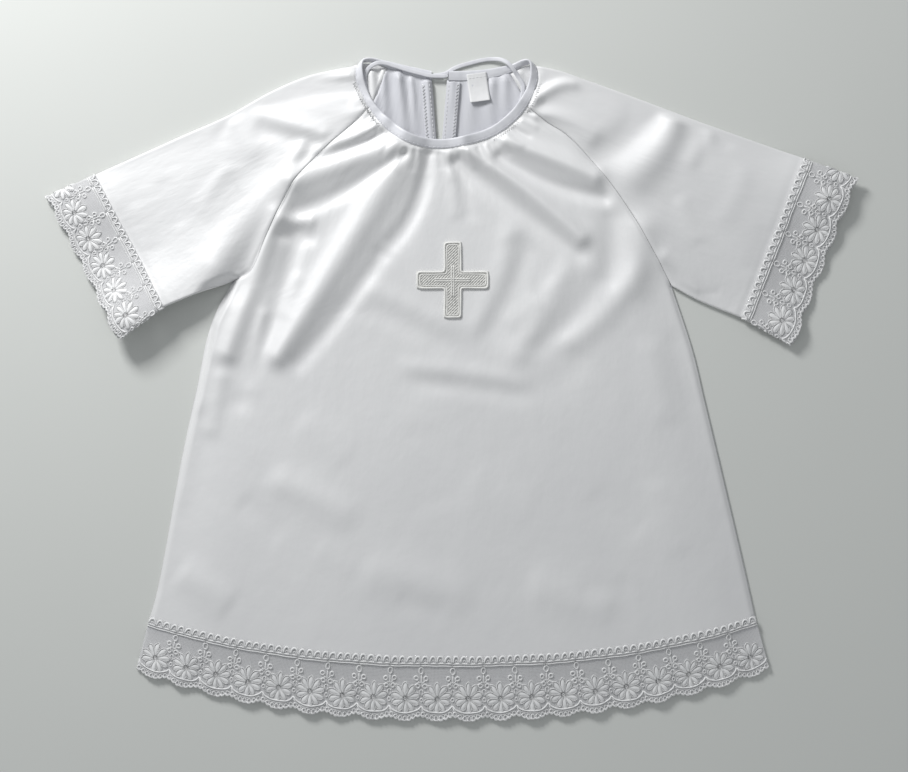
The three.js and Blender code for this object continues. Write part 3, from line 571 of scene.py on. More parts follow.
def fill_mesh(
    name: str, points: Array, faces: NDArray[np.int64], uv: Array | None = None
) -> bpy.types.Object:
    """Makes an object of faces that all have as many corners, from points in millimetres.

    Args:
        name: The object's name.
        points: The points, one row each.
        faces: The faces' point numbers, one row each.
        uv: Each point's place on the cloth in millimetres, which goes into the UV map "cloth".

    Returns:
        The object, in the scene and shaded smooth.
    """
    mesh = bpy.data.meshes.new(name)
    corners = faces.shape[1]
    mesh.vertices.add(len(points))
    mesh.vertices.foreach_set("co", (points * MM).ravel())
    mesh.loops.add(faces.size)
    mesh.loops.foreach_set("vertex_index", faces.ravel().astype(np.int32))
    mesh.polygons.add(len(faces))
    mesh.polygons.foreach_set("loop_start", (np.arange(len(faces)) * corners).astype(np.int32))
    mesh.polygons.foreach_set("use_smooth", np.ones(len(faces), bool))
    if uv is not None:
        layer = mesh.uv_layers.new(name="cloth")
        layer.data.foreach_set("uv", (uv[faces.ravel()] * MM).ravel())
    mesh.update(calc_edges=True)
    mesh.validate()
    made = bpy.data.objects.new(name, mesh)
    bpy.context.scene.collection.objects.link(made)
    return made


def thicken(piece: bpy.types.Object, thickness: float) -> None:
    """Gives a surface a wall behind it, closed round its edges."""
    wall = piece.modifiers.new("wall", "SOLIDIFY")
    wall.thickness = thickness * MM
    wall.offset = -1
    wall.use_even_offset = False


def finish_piece(
    piece: bpy.types.Object, slot: Slot, material: bpy.types.Material, *nodes: str
) -> bpy.types.Object:
    """Dresses a piece, lets it ride and hides the CAD nodes that it stands for.

    Args:
        piece: The piece.
        slot: Not used.
        material: The material it wears.
        nodes: The CAD nodes that it replaces.

    Returns:
        The piece.
    """
    piece.data.materials.append(material)
    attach(piece, BODY)
    if nodes:
        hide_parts(*nodes)
    log.info("%s: %d faces", piece.name, len(piece.data.polygons))
    return piece


@dataclass(frozen=True)
class Cut:
    """The flat cut of a sheet of cloth: its width and length in millimetres, and how it is held.

    share is how much of that rectangle the cut's outline fills.
    """

    wide: float
    long: float
    share: float
    held: str = "laid"

    def declare(
        self,
        piece: bpy.types.Object,
        rests_on: tuple[str, ...],
        with_pieces: tuple[bpy.types.Object, ...] = (),
    ) -> None:
        """Does nothing with a piece: it is not recorded as this sheet.

        Args:
            piece: Not used.
            rests_on: Not used.
            with_pieces: Not used.
        """


def grid_normals(grid: Array, ring: bool) -> Array:
    """Unit normals of a grid's points, towards a viewer who sees rows run down and columns right."""
    if ring:
        across = np.roll(grid, -1, axis=1) - np.roll(grid, 1, axis=1)
    else:
        across = np.gradient(grid, axis=1)
    down = np.gradient(grid, axis=0)
    normal = np.cross(down, across)
    return normal / np.maximum(np.linalg.norm(normal, axis=2, keepdims=True), 1e-9)


@dataclass
class Surface:
    """A grid of cloth that other pieces are placed on, by their place across and down it."""

    grid: Array
    across: Array
    down: Array
    ring: bool = False

    def at(self, s: Array, t: Array, height: Array) -> Array:
        """Points at a height off the cloth, blended from the grid's four nearest points.

        Args:
            s: Places across, in millimetres.
            t: Places down, in millimetres.
            height: Heights off the cloth, along its normal.

        Returns:
            One row for each place.
        """
        normals = grid_normals(self.grid, self.ring)
        if self.ring:
            s = np.mod(s, self.across[-1])
        column = np.interp(s, self.across, np.arange(len(self.across)))
        row = np.interp(t, self.down, np.arange(len(self.down)))
        columns = self.grid.shape[1]
        i0 = np.clip(np.floor(row).astype(int), 0, len(self.down) - 2)
        j0 = np.clip(np.floor(column).astype(int), 0, len(self.across) - 2)
        wi, wj = (row - i0)[:, None], (column - j0)[:, None]
        j1 = (j0 + 1) % columns
        both = []
        for values in (self.grid, normals):
            upper = values[i0, j0 % columns] * (1 - wj) + values[i0, j1] * wj
            lower = values[i0 + 1, j0 % columns] * (1 - wj) + values[i0 + 1, j1] * wj
            both.append(upper * (1 - wi) + lower * wi)
        return both[0] + both[1] * height[:, None]

    def across_at(self, share: Array) -> Array:
        """Places across, in millimetres, at shares of the grid's columns."""
        return np.interp(share, np.linspace(0, 1, len(self.across)), self.across)

    def tuck(self, grid: Array, s: Array, downs: tuple[float, ...], height: float) -> Array:
        """A grid with rows added at its foot, which run on along this cloth.

        Args:
            grid: The grid of the cloth that ends here.
            s: The places across of its columns.
            downs: How far down this cloth each added row is.
            height: The added rows' height off this cloth.

        Returns:
            The longer grid.
        """
        size = len(s)
        added = [self.at(s, np.full(size, t), np.full(size, height)) for t in downs]
        return np.concatenate([grid, np.array(added)])


# ---------------------------------------------------------------- finishes


class Shader:
    """A material whose Principled shader the finishes set, with short calls for its nodes."""

    def __init__(self, name: str, **values: object) -> None:
        """Makes the material.

        Args:
            name: The material's name.
            values: The shader's own sockets, with _ for a space in a name.
        """
        self.material = bpy.data.materials.new(name)
        self.material.use_nodes = True
        self.tree = self.material.node_tree
        self.shader = self.tree.nodes["Principled BSDF"]
        for key, value in values.items():
            self.shader.inputs[key.replace("_", " ")].default_value = value

    def node(self, kind: str, inputs: dict[str | int, object], **settings: object) -> bpy.types.Node:
        """Adds a node.

        Args:
            kind: Its type, without ShaderNode.
            inputs: Its sockets' values, or the outputs that are linked to them.
            settings: Its own settings.

        Returns:
            The node.
        """
        made = self.tree.nodes.new("ShaderNode" + kind)
        for key, value in settings.items():
            setattr(made, key, value)
        for key, value in inputs.items():
            if isinstance(value, bpy.types.NodeSocket):
                self.tree.links.new(value, made.inputs[key])
            else:
                made.inputs[key].default_value = value
        return made

    def cloth_place(self, scale: tuple[float, float, float]) -> bpy.types.NodeSocket:
        """The place on the cloth in metres, times a scale for each way."""
        place = self.node("UVMap", {}, uv_map="cloth")
        return self.node("Mapping", {"Vector": place.outputs["UV"], "Scale": scale}).outputs["Vector"]

    def object_place(self, scale: tuple[float, float, float]) -> bpy.types.NodeSocket:
        """The place in the shared frame in metres, times a scale for each way."""
        place = self.node("TexCoord", {})
        return self.node("Mapping", {"Vector": place.outputs["Object"], "Scale": scale}).outputs["Vector"]

    def noise(self, place: bpy.types.NodeSocket, detail: float = 2.0) -> bpy.types.NodeSocket:
        """Noise of about one swell to a unit of place."""
        return self.node("TexNoise", {"Vector": place, "Scale": 1.0, "Detail": detail}).outputs["Fac"]

    def spread(
        self, value: bpy.types.NodeSocket, low: float, high: float, start: float = 0.3, end: float = 0.7
    ) -> bpy.types.NodeSocket:
        """A value's range from start to end, turned into one from low to high."""
        inputs = {"Value": value, "From Min": start, "From Max": end, "To Min": low, "To Max": high}
        return self.node("MapRange", inputs).outputs["Result"]

    def tint(
        self, value: bpy.types.NodeSocket, dark: tuple[float, ...], light: tuple[float, ...]
    ) -> None:
        """Blends the base colour from dark to light by a value."""
        mixed = self.node("Mix", {0: value, 6: dark, 7: light}, data_type="RGBA")
        self.tree.links.new(mixed.outputs[2], self.shader.inputs["Base Color"])

    def raise_by(self, *layers: tuple[bpy.types.NodeSocket, float]) -> None:
        """Adds bumps, each a height between 0 and 1 and its depth in millimetres."""
        last = None
        for value, depth in layers:
            inputs = {"Height": value, "Distance": depth * MM, "Strength": 1.0}
            if last is not None:
                inputs["Normal"] = last
            last = self.node("Bump", inputs).outputs["Normal"]
        self.tree.links.new(last, self.shader.inputs["Normal"])


def rgb(red: float, green: float, blue: float) -> tuple[float, float, float, float]:
    """A colour with its opacity."""
    return (red, green, blue, 1.0)


@dataclass(frozen=True)
class Satin:
    """White satin: long floats along the cloth give a soft sheen, faint streaks and a fine crinkle."""

    name: str = "white_satin"
    light: tuple[float, float, float] = (0.86, 0.86, 0.863)
    dark: tuple[float, float, float] = (0.83, 0.83, 0.836)
    roughness: float = 0.53
    gleam: float = 0.1
    weave_depth: float = 0.012
    crinkle_depth: float = 0.45
    ripple_depth: float = 0.1

    def make(self) -> bpy.types.Material:
        """Makes the material."""
        shader = Shader(
            self.name,
            Roughness=self.roughness,
            Metallic=self.gleam,
            Sheen_Weight=0.1,
            Sheen_Roughness=0.4,
            Anisotropic=0.3,
            Specular_IOR_Level=0.5,
        )
        streaks = shader.noise(shader.cloth_place((2600, 320, 1)), 3)
        crinkle = shader.noise(shader.cloth_place((55, 40, 1)), 3)
        ripple = shader.noise(shader.cloth_place((150, 95, 1)), 2)
        cloud = shader.noise(shader.cloth_place((14, 10, 1)), 2)
        shader.tint(shader.spread(cloud, 0, 1), rgb(*self.dark), rgb(*self.light))
        shader.raise_by(
            (crinkle, self.crinkle_depth), (ripple, self.ripple_depth), (streaks, self.weave_depth)
        )
        return shader.material


@dataclass(frozen=True)
class Net:
    """Sheer net: a six-sided mesh of fine thread with open holes."""

    name: str = "lace_net"
    color: tuple[float, float, float] = (0.86, 0.86, 0.87)
    pitch: float = 0.9
    hole: float = 0.4
    thread: float = 0.66

    def make(self) -> bpy.types.Material:
        """Makes the material."""
        shader = Shader(self.name, Base_Color=rgb(*self.color), Roughness=0.8, Sheen_Weight=0.2)
        scale = 1 / (self.pitch * MM)
        cells = shader.node(
            "TexVoronoi",
            {"Vector": shader.cloth_place((scale, scale, 1)), "Scale": 1.0, "Randomness": 0.25},
            feature="DISTANCE_TO_EDGE",
            voronoi_dimensions="2D",
        )
        threads = shader.spread(cells.outputs["Distance"], self.thread, self.hole, 0.06, 0.3)
        shader.tree.links.new(threads, shader.shader.inputs["Alpha"])
        shader.raise_by((threads, 0.05))
        return shader.material


@dataclass(frozen=True)
class Thread:
    """Stitched thread: fine ribs across it, as on satin stitch."""

    name: str
    light: tuple[float, float, float]
    dark: tuple[float, float, float]
    roughness: float = 0.55
    rib: float = 0.42
    depth: float = 0.06

    def make(self) -> bpy.types.Material:
        """Makes the material."""
        shader = Shader(self.name, Roughness=self.roughness, Sheen_Weight=0.25, Sheen_Roughness=0.5)
        scale = 1 / (self.rib * MM)
        ribs = shader.noise(shader.object_place((scale, scale, scale)), 1)
        patches = shader.noise(shader.object_place((160, 160, 160)), 2)
        shader.tint(shader.spread(patches, 0, 1), rgb(*self.dark), rgb(*self.light))
        shader.raise_by((ribs, self.depth))
        return shader.material


@dataclass(frozen=True)
class Tape:
    """Woven tape: satin cut on the bias, or a label's close weave."""

    name: str
    light: tuple[float, float, float]
    dark: tuple[float, float, float]
    roughness: float
    weave: float = 0.35
    depth: float = 0.03

    def make(self) -> bpy.types.Material:
        """Makes the material."""
        shader = Shader(self.name, Roughness=self.roughness, Sheen_Weight=0.15, Sheen_Roughness=0.4)
        scale = 1 / (self.weave * MM)
        weave = shader.noise(shader.object_place((scale, scale * 0.4, scale)), 2)
        ripple = shader.noise(shader.object_place((260, 260, 260)), 2)
        shader.tint(shader.spread(ripple, 0, 1), rgb(*self.dark), rgb(*self.light))
        shader.raise_by((ripple, 0.15), (weave, self.depth))
        return shader.material


@dataclass(frozen=True)
class Floor:
    """A plain pale grey-green surface with a very faint mottle."""

    light: tuple[float, float, float] = (0.72, 0.735, 0.71)
    dark: tuple[float, float, float] = (0.70, 0.715, 0.69)

    def make(self) -> bpy.types.Material:
        """Makes the material."""
        shader = Shader("pale_surface", Roughness=0.6, Specular_IOR_Level=0.3)
        shader.tint(shader.noise(shader.object_place((9, 9, 9)), 3), rgb(*self.dark), rgb(*self.light))
        return shader.material


# ---------------------------------------------------------------- camera, light and ground


@dataclass(frozen=True)
class Studio:
    """The camera over the shirt, one soft key light from its top left, and a pale surface."""

    lens: float = 70.0
    sensor: float = 36.0
    view_width: float = 635.6
    middle: tuple[float, float] = (1.9, 2.5)
    cloth_level: float = 3.0
    key_place: tuple[float, float, float] = (-570.0, 900.0, 610.0)
    key_size: float = 300.0
    key_power: float = 11.4
    world: float = 0.365
    floor_size: float = 3000.0
    floor_level: float = -0.3

    def build(self) -> None:
        """Adds the camera, the light and the ground."""
        scene = bpy.context.scene
        scene.view_settings.view_transform = "Standard"
        data = bpy.data.cameras.new("camera")
        data.lens = self.lens
        data.sensor_width = self.sensor
        camera = bpy.data.objects.new("camera", data)
        scene.collection.objects.link(camera)
        distance = self.view_width * self.lens / self.sensor
        camera.location = np.array((*self.middle, self.cloth_level + distance)) * MM
        scene.camera = camera
        self.light()
        world = bpy.data.worlds.new("world")
        world.use_nodes = True
        world.node_tree.nodes["Background"].inputs["Color"].default_value = rgb(0.95, 0.98, 1)
        world.node_tree.nodes["Background"].inputs["Strength"].default_value = self.world
        scene.world = world
        plan = line((-1, 1), (-1, -1), (1, -1), (1, 1)) * self.floor_size / 2
        corners = np.column_stack([plan, np.full(4, self.floor_level)])
        floor = fill_mesh("floor", corners, np.array([[0, 1, 2, 3]]))
        floor.data.materials.append(Floor().make())

    def light(self) -> None:
        """Adds the key, a square area light that points at the middle of the shirt."""
        data = bpy.data.lights.new("key", "AREA")
        data.size = self.key_size * MM
        data.energy = self.key_power
        lamp = bpy.data.objects.new("key", data)
        bpy.context.scene.collection.objects.link(lamp)
        lamp.location = np.array(self.key_place) * MM
        lamp.rotation_euler = (-lamp.location).to_track_quat("-Z", "Y").to_euler()


# ---------------------------------------------------------------- ties


@dataclass(frozen=True)
class Tie:
    """A flat satin tie, with a groove along each of its faces; the seam on one edge is not modelled."""

    wide: float = 2.9
    thick: float = 1.3
    sides: int = 16
    step: float = 0.9
    groove: float = 0.12
    groove_share: float = 0.22
    end_taper: float = 0.45

    def build(self, name: str, route: Array, material: bpy.types.Material) -> bpy.types.Object:
        """Builds a tie along a route.

        Its section is a flat oval, level across: (cos a, sin a) times the half sizes, with the
        square root of the sine so that its faces are flat, less a shallow groove in the middle.

        Args:
            name: The piece's name, which is its node's too.
            route: The points it follows.
            material: What it wears.

        Returns:
            The piece.
        """
        length = runs(even(route, np.linspace(0, 1, 400)))[-1]
        stations = int(length / self.step)
        path = even(route, np.linspace(0, 1, stations))
        way = np.gradient(path, axis=0)
        flat = unit(way[:, :2])
        angle = np.linspace(0, 2 * math.pi, self.sides, endpoint=False)
        across = np.cos(angle) * self.wide / 2
        up = np.sign(np.sin(angle)) * np.abs(np.sin(angle)) ** 0.5 * self.thick / 2
        up = up * (1 - self.groove * bell(across, self.wide * self.groove_share))
        from_end = np.minimum(np.arange(stations), np.arange(stations)[::-1])
        taper = (1 - self.end_taper + self.end_taper * smooth(from_end / 2))[:, None]
        plan = np.stack([-flat[:, 1, None] * across, flat[:, 0, None] * across], axis=-1)
        offset = np.dstack([plan * taper[..., None], up * taper])
        points = np.vstack([(path[:, None] + offset).reshape(-1, 3), path[:1], path[-1:]])
        piece = fill_mesh(name, points, tube_faces(points, stations, self.sides, flip=True))
        finish_piece(piece, Slot.BINDING, material, name)
        return piece


def split(quads: NDArray[np.int64]) -> NDArray[np.int64]:
    """Cuts four-sided faces into triangles."""
    return np.vstack([quads[:, [0, 1, 2]], quads[:, [0, 2, 3]]])


def outward(points: Array, triangles: NDArray[np.int64]) -> NDArray[np.int64]:
    """Turns closed shapes' triangles right side out: their volume, summed over them, is positive."""
    p, q, r = (points[triangles[:, k]] for k in range(3))
    volume = np.einsum("ij,ij->", p - points.mean(0), np.cross(q - p, r - p))
    return triangles if volume > 0 else triangles[:, ::-1]


def tube_faces(points: Array, stations: int, sides: int, flip: bool = False) -> NDArray[np.int64]:
    """A closed tube's triangles, right side out.

    Args:
        points: The rings' points in turn, and then the middle of the first and of the last end.
        stations: How many rings it has.
        sides: How many points each ring has.
        flip: Whether its four-sided faces are cut along their other diagonal.

    Returns:
        One row of three point numbers for each triangle.
    """
    around = np.arange(sides)
    after = (around + 1) % sides
    end = (stations - 1) * sides
    near = np.column_stack([np.full(sides, len(points) - 2), after, around])
    far = np.column_stack([np.full(sides, len(points) - 1), end + around, end + after])
    body = grid_faces(stations, sides, ring=True)
    if flip:
        return outward(points, np.vstack([split(body[:, ::-1]), near[:, ::-1], far[:, ::-1]]))
    return outward(points, np.vstack([split(body), near, far]))


# ---------------------------------------------------------------- raised stitching


@dataclass
class Stitching:
    """Raised threads in a design's own plan, which are then laid on cloth as often as it repeats."""

    points: list[Array]
    faces: list[NDArray[np.int64]]
    count: int = 0

    @classmethod
    def empty(cls) -> "Stitching":
        """A design with nothing in it."""
        return cls([], [])

    def strand(
        self,
        path: Array,
        half_width: Array | float,
        height: Array | float,
        sides: int = 2,
        closed: bool = False,
        base: float = 0.0,
    ) -> None:
        """Adds a thread whose section is a half ellipse with a flat underside.

        A point at angle a of the section is half_width·cos a to the path's side and height·sin a
        above its base, for sides + 1 angles from 0 to half a turn.

        Args:
            path: The thread's points in the design's plan.
            half_width: Half its width, for the whole of it or for each point.
            height: How far it stands up, likewise.
            sides: How many faces the arched part of its section has.
            closed: Whether its end joins its start.
            base: How high its underside is.
        """
        if closed:
            way = np.roll(path, -1, axis=0) - np.roll(path, 1, axis=0)
        else:
            way = np.gradient(path, axis=0)
        way = unit(way)
        side = np.column_stack([-way[:, 1], way[:, 0]])
        stations, width = len(path), sides + 1
        angle = np.linspace(0, math.pi, width)
        half = np.broadcast_to(half_width, stations)[:, None]
        tall = np.broadcast_to(height, stations)[:, None]
        points = np.zeros((stations, width, 3))
        points[:, :, :2] = path[:, None] + side[:, None] * (half * np.cos(angle))[:, :, None]
        points[:, :, 2] = base + tall * np.sin(angle)
        i, k = np.meshgrid(
            np.arange(stations if closed else stations - 1), np.arange(width), indexing="ij"
        )
        near, far = i * width, (i + 1) % stations * width
        after = (k + 1) % width
        quads = np.stack([near + k, near + after, far + after, far + k], axis=-1).reshape(-1, 4)
        faces = [split(quads)]
        if not closed:
            fan = np.arange(1, width - 1)
            end = (stations - 1) * width
            faces.append(np.column_stack([np.zeros_like(fan), fan + 1, fan]))
            faces.append(np.column_stack([np.full_like(fan, end), end + fan, end + fan + 1]))
        self.points.append(points.reshape(-1, 3))
        self.faces.append(np.vstack(faces) + self.count)
        self.count += points.shape[0] * width

    def ring(
        self,
        middle: tuple[float, float],
        size: tuple[float, float],
        half_width: float,
        height: float,
        steps: int = 12,
    ) -> None:
        """Adds a closed oval thread."""
        angle = np.linspace(0, 2 * math.pi, steps, endpoint=False)
        path = np.column_stack([np.cos(angle) * size[0], np.sin(angle) * size[1]]) + middle
        self.strand(path, half_width, height, closed=True)

    def lay(self, places: Array, on: Place) -> tuple[Array, NDArray[np.int64]]:
        """Lays copies of the design on cloth.

        Args:
            places: How far each copy is moved across, one row each of across and down.
            on: Gives points from places across, places down and heights.

        Returns:
            The copies' points and their triangles, right side out.
        """
        plan = np.vstack(self.points)
        triangles = np.vstack(self.faces)
        moved = np.repeat(plan[None], len(places), axis=0)
        moved[:, :, :2] += places[:, None]
        flat = moved.reshape(-1, 3)
        points = on(flat[:, 0], flat[:, 1], flat[:, 2])
        starts = np.arange(len(places)) * len(plan)
        faces = (triangles[None] + starts[:, None, None]).reshape(-1, 3)
        return points, outward(points, faces)

    def lay_once(self, on: Place, sink: float) -> tuple[Array, NDArray[np.int64]]:
        """Lays the design once, where it is in its own plan and sunk a little into the cloth."""
        return self.lay(np.zeros((1, 2)), lambda s, t, height: on(s, t, height - sink))


def level_line(across: Array, down: float) -> Array:
    """Points of a straight row in a design's plan, all as far down."""
    return np.column_stack([across, np.full(len(across), down)])


def merge(*parts: tuple[Array, NDArray[np.int64]]) -> tuple[Array, NDArray[np.int64]]:
    """Joins sets of points and faces into one."""
    starts = np.cumsum([0] + [len(points) for points, _ in parts[:-1]])
    return (
        np.vstack([points for points, _ in parts]),
        np.vstack([faces + start for (_, faces), start in zip(parts, starts)]),
    )


def arc(
    middle: tuple[float, float], size: tuple[float, float], start: float, end: float, steps: int
) -> Array:
    """Points on a stretch of an oval, between two angles in degrees."""
    angle = np.radians(np.linspace(start, end, steps))
    return np.column_stack([np.cos(angle) * size[0], np.sin(angle) * size[1]]) + middle


# ---------------------------------------------------------------- lace


@dataclass(frozen=True)
class LaceDesign:
    """One repeat of the lace: places across from the flower's middle, and down from its header."""

    repeat: float = 21.6
    depth: float = 41.6
    arches: int = 4
    arch_foot: float = 4.7
    cords: tuple[float, float] = (5.1, 6.7)
    flower_down: float = 27.4
    petals: int = 10
    petal_start: float = 0.9
    petal_reach: float = 10.0
    petal_droop: float = 0.8
    petal_wide: float = 1.95
    border_down: tuple[float, float] = (31.2, 36.4)
    eyelets: int = 7
    edge_down: tuple[float, float] = (38.2, 41.4)
    picot: float = 1.3

    def border(self, across: Array) -> Array:
        """How far down the scalloped cord is: it sags between the repeats' ends as an ellipse."""
        high, low = self.border_down
        part = np.clip(np.abs(across) / (self.repeat / 2), 0, 1)
        return high + (low - high) * np.sqrt(1 - part**2 * 0.98)

    def edge(self, across: Array) -> Array:
        """How far down the lace's edge is: a shallow scallop with a picot below each eyelet."""
        high, low = self.edge_down
        phase = across / self.repeat
        return high + (low - high) * np.cos(math.pi * phase) ** 2 + self.picot * np.abs(
            np.cos(math.pi * phase * self.eyelets)
        )

    def flower(self) -> Stitching:
        """The header's arches and cords, the flower, the scalloped cord, the eyelets and the edge."""
        made = Stitching.empty()
        half = self.repeat / 2
        pitch = self.repeat / self.arches
        for k in range(self.arches):
            middle = (-half + pitch * (k + 0.5), self.arch_foot)
            made.strand(arc(middle, (pitch * 0.42, 4.0), 180, 360, 11), 0.66, 0.85, sides=3)
            made.strand(arc(middle, (pitch * 0.16, 1.9), 180, 360, 7), 0.4, 0.4)
        for down, size in zip(self.cords, (0.62, 0.5)):
            across = np.linspace(-half, half, 9)
            made.strand(level_line(across, down), size, 0.8)
        middle = (0.0, self.flower_down)
        for k in range(self.petals):
            self.petal(made, middle, 2 * math.pi * (k + 0.5) / self.petals)
        made.ring(middle, (0.7, 0.7), 0.4, 0.6, 8)
        across = np.linspace(-half, half, 17)
        made.strand(np.column_stack([across, self.border(across)]), 0.62, 0.95, sides=3)
        made.strand(np.column_stack([across, self.border(across) + 1.35]), 0.36, 0.6)
        self.eyelet_row(made)
        return made

    def petal(self, made: Stitching, middle: tuple[float, float], angle: float) -> None:
        """Adds a petal: a filled leaf with a raised outline, both widest past its middle."""
        way = np.array((math.cos(angle), math.sin(angle)))
        side = np.array((-way[1], way[0]))
        near, far = self.petal_start, self.petal_reach - self.petal_droop * way[1]
        part = np.linspace(0, 1, 8)
        wide = self.petal_wide * np.sin(math.pi * part**1.7) ** 0.7
        out = near + (far - near) * part
        spine = middle + out[:, None] * way
        made.strand(spine, wide * 0.85 + 0.06, 0.55 * np.sin(math.pi * part) + 0.1, sides=3)
        ring = np.concatenate([
            spine + wide[:, None] * side,
            (spine - wide[:, None] * side)[-2:0:-1],
        ])
        made.strand(ring, 0.3, 0.75, closed=True)

    def eyelet_row(self, made: Stitching) -> None:
        """Adds the eyelets between the scalloped cord and the edge, and the edge's picots."""
        half = self.repeat / 2
        pitch = self.repeat / self.eyelets
        for k in range(self.eyelets):
            across = -half + pitch * (k + 0.5)
            top = float(self.border(np.array(across)))
            foot = float(self.edge(np.array(across)))
            middle = (across, (top + foot) / 2 + 0.4)
            tall = max(1.1, (foot - top) / 2 - 1.6)
            made.ring(middle, (1.1, tall), 0.46, 0.7, 10)
        across = np.linspace(-half, half, 8 * self.eyelets + 1)
        made.strand(np.column_stack([across, self.edge(across) - 0.6]), 0.66, 0.85)

    def sprig(self) -> Stitching:
        """Small rings on stems that rise between two flowers, placed from the repeats' joint."""
        made = Stitching.empty()
        made.ring((0, 9.8), (1.5, 2.1), 0.56, 0.8, 12)
        for hand in (-1, 1):
            made.ring((hand * 3.2, 14.6), (1.35, 1.35), 0.56, 0.8, 11)
            made.ring((hand * 2.2, 19.4), (1.3, 1.3), 0.56, 0.8, 11)
            turned = (hand, 1)
            made.strand(line((0, 17.4), (1.6, 16.9), (2.4, 15.8)) * turned, 0.42, 0.6)
            made.strand(line((0, 17.6), (1.9, 17.4), (4.2, 19), (5.6, 21)) * turned, 0.42, 0.62)
            made.strand(line((0, 21.4), (1.2, 22.6), (1, 24.4), (0, 25.6)) * turned, 0.42, 0.62)
        made.strand(line((0, 12), (0.2, 15), (0, 18.6), (0, 21.4)), 0.44, 0.62)
        made.ring((0, 28.2), (1.0, 1.2), 0.42, 0.62, 10)
        return made


@dataclass(frozen=True)
class Lace:
    """Net and embroidery of one strip of lace, on a surface that gives the strip's lie."""

    name: str
    surface: Surface
    repeats: int
    outside: int
    cut: Cut
    rests_on: tuple[str, ...] = ()
    rows: int = 12
    per_repeat: int = 28
    net_thick: float = 0.16
    design: LaceDesign = LaceDesign()

    def place(self, s: Array, t: Array, height: Array) -> Array:
        """Lays a place of the design on the strip, with its width stretched to whole repeats."""
        wide = self.surface.across[-1]
        long = self.surface.down[-1]
        s = s * wide / (self.repeats * self.design.repeat)
        sway = 0.28 * np.sin(s * 0.11 + t * 0.19) + 0.18 * np.sin(s * 0.47 - t * 0.3)
        ends = 1.0 if self.surface.ring else smooth(np.minimum(s, wide - s) / 4)
        return self.surface.at(s + sway * ends, (t + sway * 0.7) * long / self.design.depth, height)

    def raised(self, s: Array, t: Array, height: Array) -> Array:
        """Lays a place of the design on the strip's outside, with its foot just in the net."""
        return self.place(s, t, self.outside * (height - 0.04))

    def net(self) -> tuple[Array, NDArray[np.int64], Array]:
        """The net's points, faces and places on the cloth. Its last rows follow the lace's edge."""
        ring = self.surface.ring
        columns = self.repeats * self.per_repeat + (0 if ring else 1)
        s = np.arange(columns) * self.design.repeat / self.per_repeat
        part = np.linspace(0, 1, self.rows)[:, None]
        phase = np.mod(s, self.design.repeat) - self.design.repeat / 2
        foot = self.design.edge(phase) / self.design.depth
        t = self.design.depth * (part - (1 - foot)[None] * part**6)
        places = np.stack(np.broadcast_arrays(s[None], t), axis=-1).reshape(-1, 2)
        flat = np.zeros(len(places))
        points = self.place(places[:, 0], places[:, 1], flat)
        return points, grid_faces(self.rows, columns, ring), places

    def build(self, node: str, net: bpy.types.Material, thread: bpy.types.Material) -> None:
        """Builds the net, which replaces the node, and the embroidery on it."""
        points, faces, places = self.net()
        if self.outside < 0:
            faces = faces[:, ::-1]
        ground = fill_mesh(self.name + "_net", points, faces, places)
        thicken(ground, self.net_thick)
        finish_piece(ground, Slot.LACE, net, node)
        middles = (np.arange(self.repeats) + 0.5) * self.design.repeat
        joints = np.arange(0 if self.surface.ring else 1, self.repeats) * self.design.repeat
        stitched = merge(
            self.design.flower().lay(level_line(middles, 0), self.raised),
            self.design.sprig().lay(level_line(joints, 0), self.raised),
        )
        work = fill_mesh(self.name + "_embroidery", *stitched)
        finish_piece(work, Slot.LACE, thread)
        self.cut.declare(ground, self.rests_on, (work,))


# The share of its rectangle that a strip of lace fills inside its scallops.
SCALLOPED = 0.94


def hem_sag(x: Array, half_width: float) -> Array:
    """The hem's sag as a share of the most: 1 less the place across to the power of the flatness."""
    return 1 - np.abs(x / half_width) ** HEM_FLATNESS


def hem_head(t: Array) -> Array:
    """Points on the hem's header line at places from 0, left, to 1, right."""
    left, right = LEFT.seam[-1, 0], RIGHT.seam[-1, 0]
    x = left + (right - left) * t
    return np.column_stack([x, HEM_HEAD_Y - HEM_HEAD_SAG * hem_sag(x, right)])


def hem_tip(t: Array) -> Array:
    """Points on the line of the lace's scallops, at places likewise."""
    x = HEM_TIP_X[0] + (HEM_TIP_X[1] - HEM_TIP_X[0]) * t
    return np.column_stack([x, HEM_TIP_Y - HEM_TIP_SAG * hem_sag(x, HEM_TIP_X[1])])


